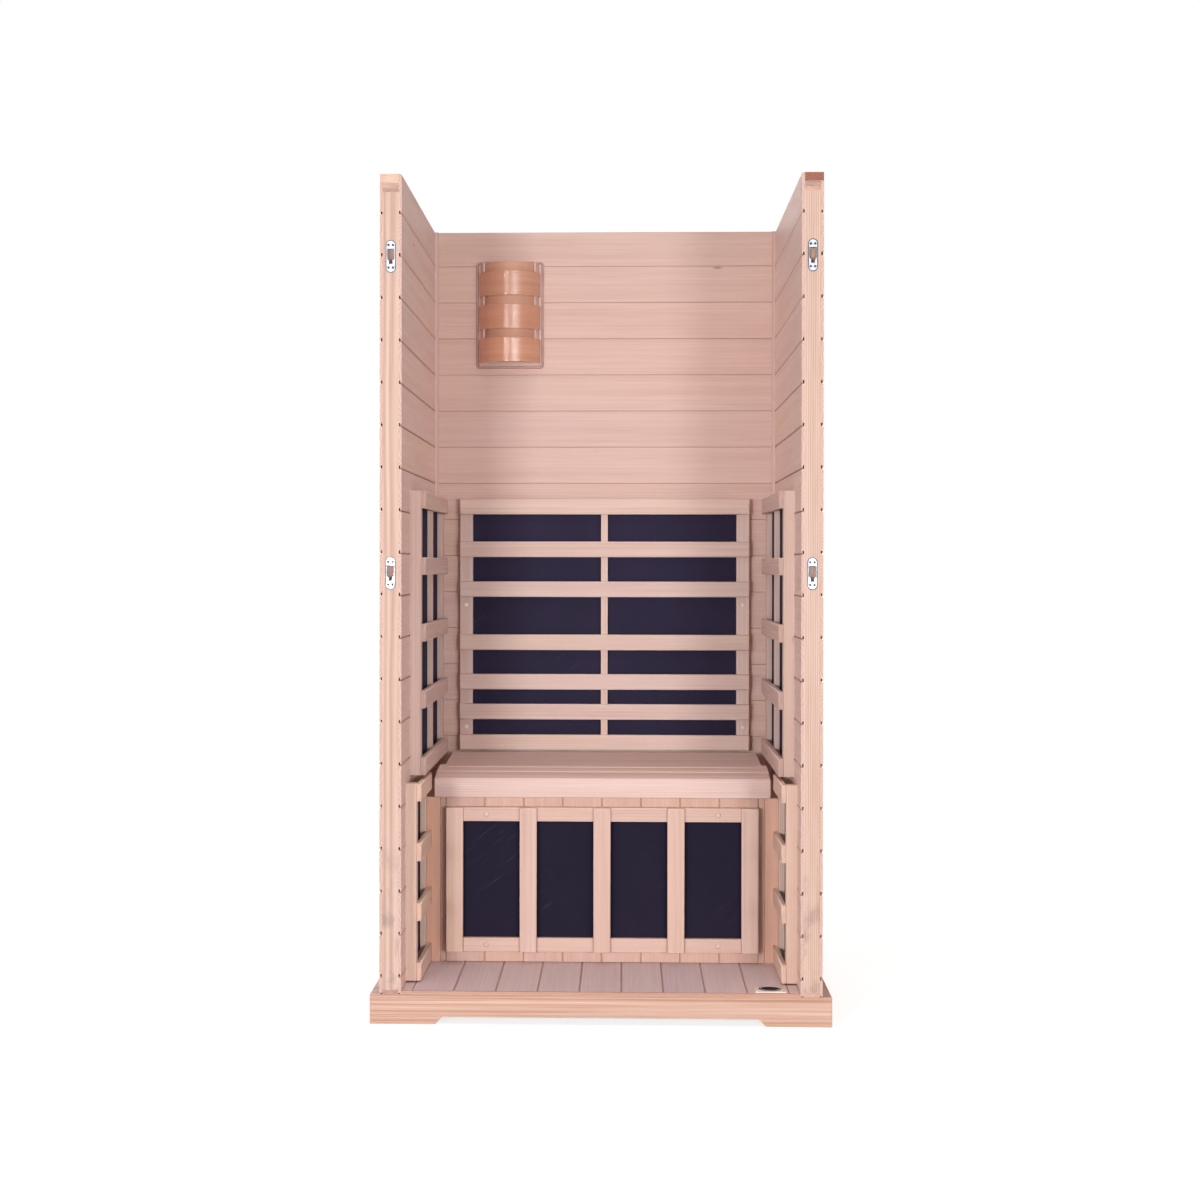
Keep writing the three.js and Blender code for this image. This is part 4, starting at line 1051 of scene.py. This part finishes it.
paper = bpy.data.materials.new("studio_floor")
paper.use_nodes = True
tree = paper.node_tree
tree.nodes.clear()
seen = rays_seen(tree)
place = on_piece(tree)
away = put(tree, "ShaderNodeVectorMath", {0: place}, operation="LENGTH").outputs["Value"]
fade = put(tree, "ShaderNodeMapRange", {"Value": away, "From Min": FLOOR_FADE[0], "From Max": FLOOR_FADE[1]},
           interpolation_type="SMOOTHSTEP").outputs[0]
matt = put(tree, "ShaderNodeBsdfDiffuse", {"Color": FLOOR_SHADE}).outputs[0]
glow = put(tree, "ShaderNodeEmission", {"Color": WHITE, "Strength": FLOOR_GLOW}).outputs[0]
white = put(tree, "ShaderNodeEmission", {"Color": WHITE, "Strength": 1.0}).outputs[0]
near = put(tree, "ShaderNodeAddShader", {0: matt, 1: glow}).outputs[0]
shown = put(tree, "ShaderNodeMixShader", {0: fade, 1: near, 2: white}).outputs[0]
bounce = put(tree, "ShaderNodeBsdfDiffuse", {"Color": FLOOR_BOUNCE}).outputs[0]
whole = put(tree, "ShaderNodeMixShader", {0: seen, 1: bounce, 2: shown}).outputs[0]
put(tree, "ShaderNodeOutputMaterial", {"Surface": whole})
floor_mesh = bpy.data.meshes.new("studio_floor")
corners = [(x * FLOOR_REACH, y * FLOOR_REACH, 0) for x, y in ((-1, -1), (1, -1), (1, 1), (-1, 1))]
floor_mesh.from_pydata(corners, [], [(0, 1, 2, 3)])
floor_mesh.materials.append(paper)
studio_floor = bpy.data.objects.new("studio_floor", floor_mesh)
link(studio_floor)

world = bpy.data.worlds.new("studio")
world.use_nodes = True
tree = world.node_tree
tree.nodes.clear()
seen = rays_seen(tree)
level = ramp(tree, seen, 0.0, 1.0, AMBIENT, 1.0)
tint = mix(tree, seen, AMBIENT_TINT, WHITE)
sky = put(tree, "ShaderNodeBackground", {"Color": tint, "Strength": level}).outputs[0]
put(tree, "ShaderNodeOutputWorld", {"Surface": sky})
bpy.context.scene.world = world

for i, (place, size, power) in enumerate(BOXES):
    box = bpy.data.lights.new(f"soft_box_{i + 1}", "AREA")
    box.shape = "RECTANGLE"
    box.size, box.size_y = size
    box.energy = power
    lamp = bpy.data.objects.new(f"soft_box_{i + 1}", box)
    lamp.location = place
    lamp.rotation_euler = (BOX_AIM - Vector(place)).to_track_quat("-Z", "Y").to_euler()
    lamp.visible_camera = False
    link(lamp)

ceiling = bpy.data.lights.new("white_ceiling", "SUN")
ceiling.energy = CEILING
ceiling.color = CEILING_TINT
ceiling.angle = CEILING_SPREAD
lamp = bpy.data.objects.new("white_ceiling", ceiling)
lamp.rotation_euler = CEILING_AIM.to_track_quat("-Z", "Y").to_euler()
link(lamp)

yaw, pitch, roll = CAMERA_TURN
view = (Matrix.Rotation(roll, 3, "Z") @ Matrix.Rotation(pitch, 3, "X") @ Matrix.Rotation(-yaw, 3, "Y")
        @ Matrix(((1, 0, 0), (0, 0, -1), (0, 1, 0))))
camera = bpy.data.cameras.new("camera")
camera.lens = CAMERA_LENS
camera.sensor_width = CAMERA_SENSOR
camera.sensor_fit = "HORIZONTAL"
camera.shift_x, camera.shift_y = CAMERA_SHIFT
eye = bpy.data.objects.new("camera", camera)
turn = Matrix((view[0], -view[1], -view[2])).transposed().to_4x4()
eye.matrix_world = Matrix.Translation(CAMERA_PLACE) @ turn
link(eye)
bpy.context.scene.camera = eye
bpy.context.scene.view_settings.view_transform = "Standard"
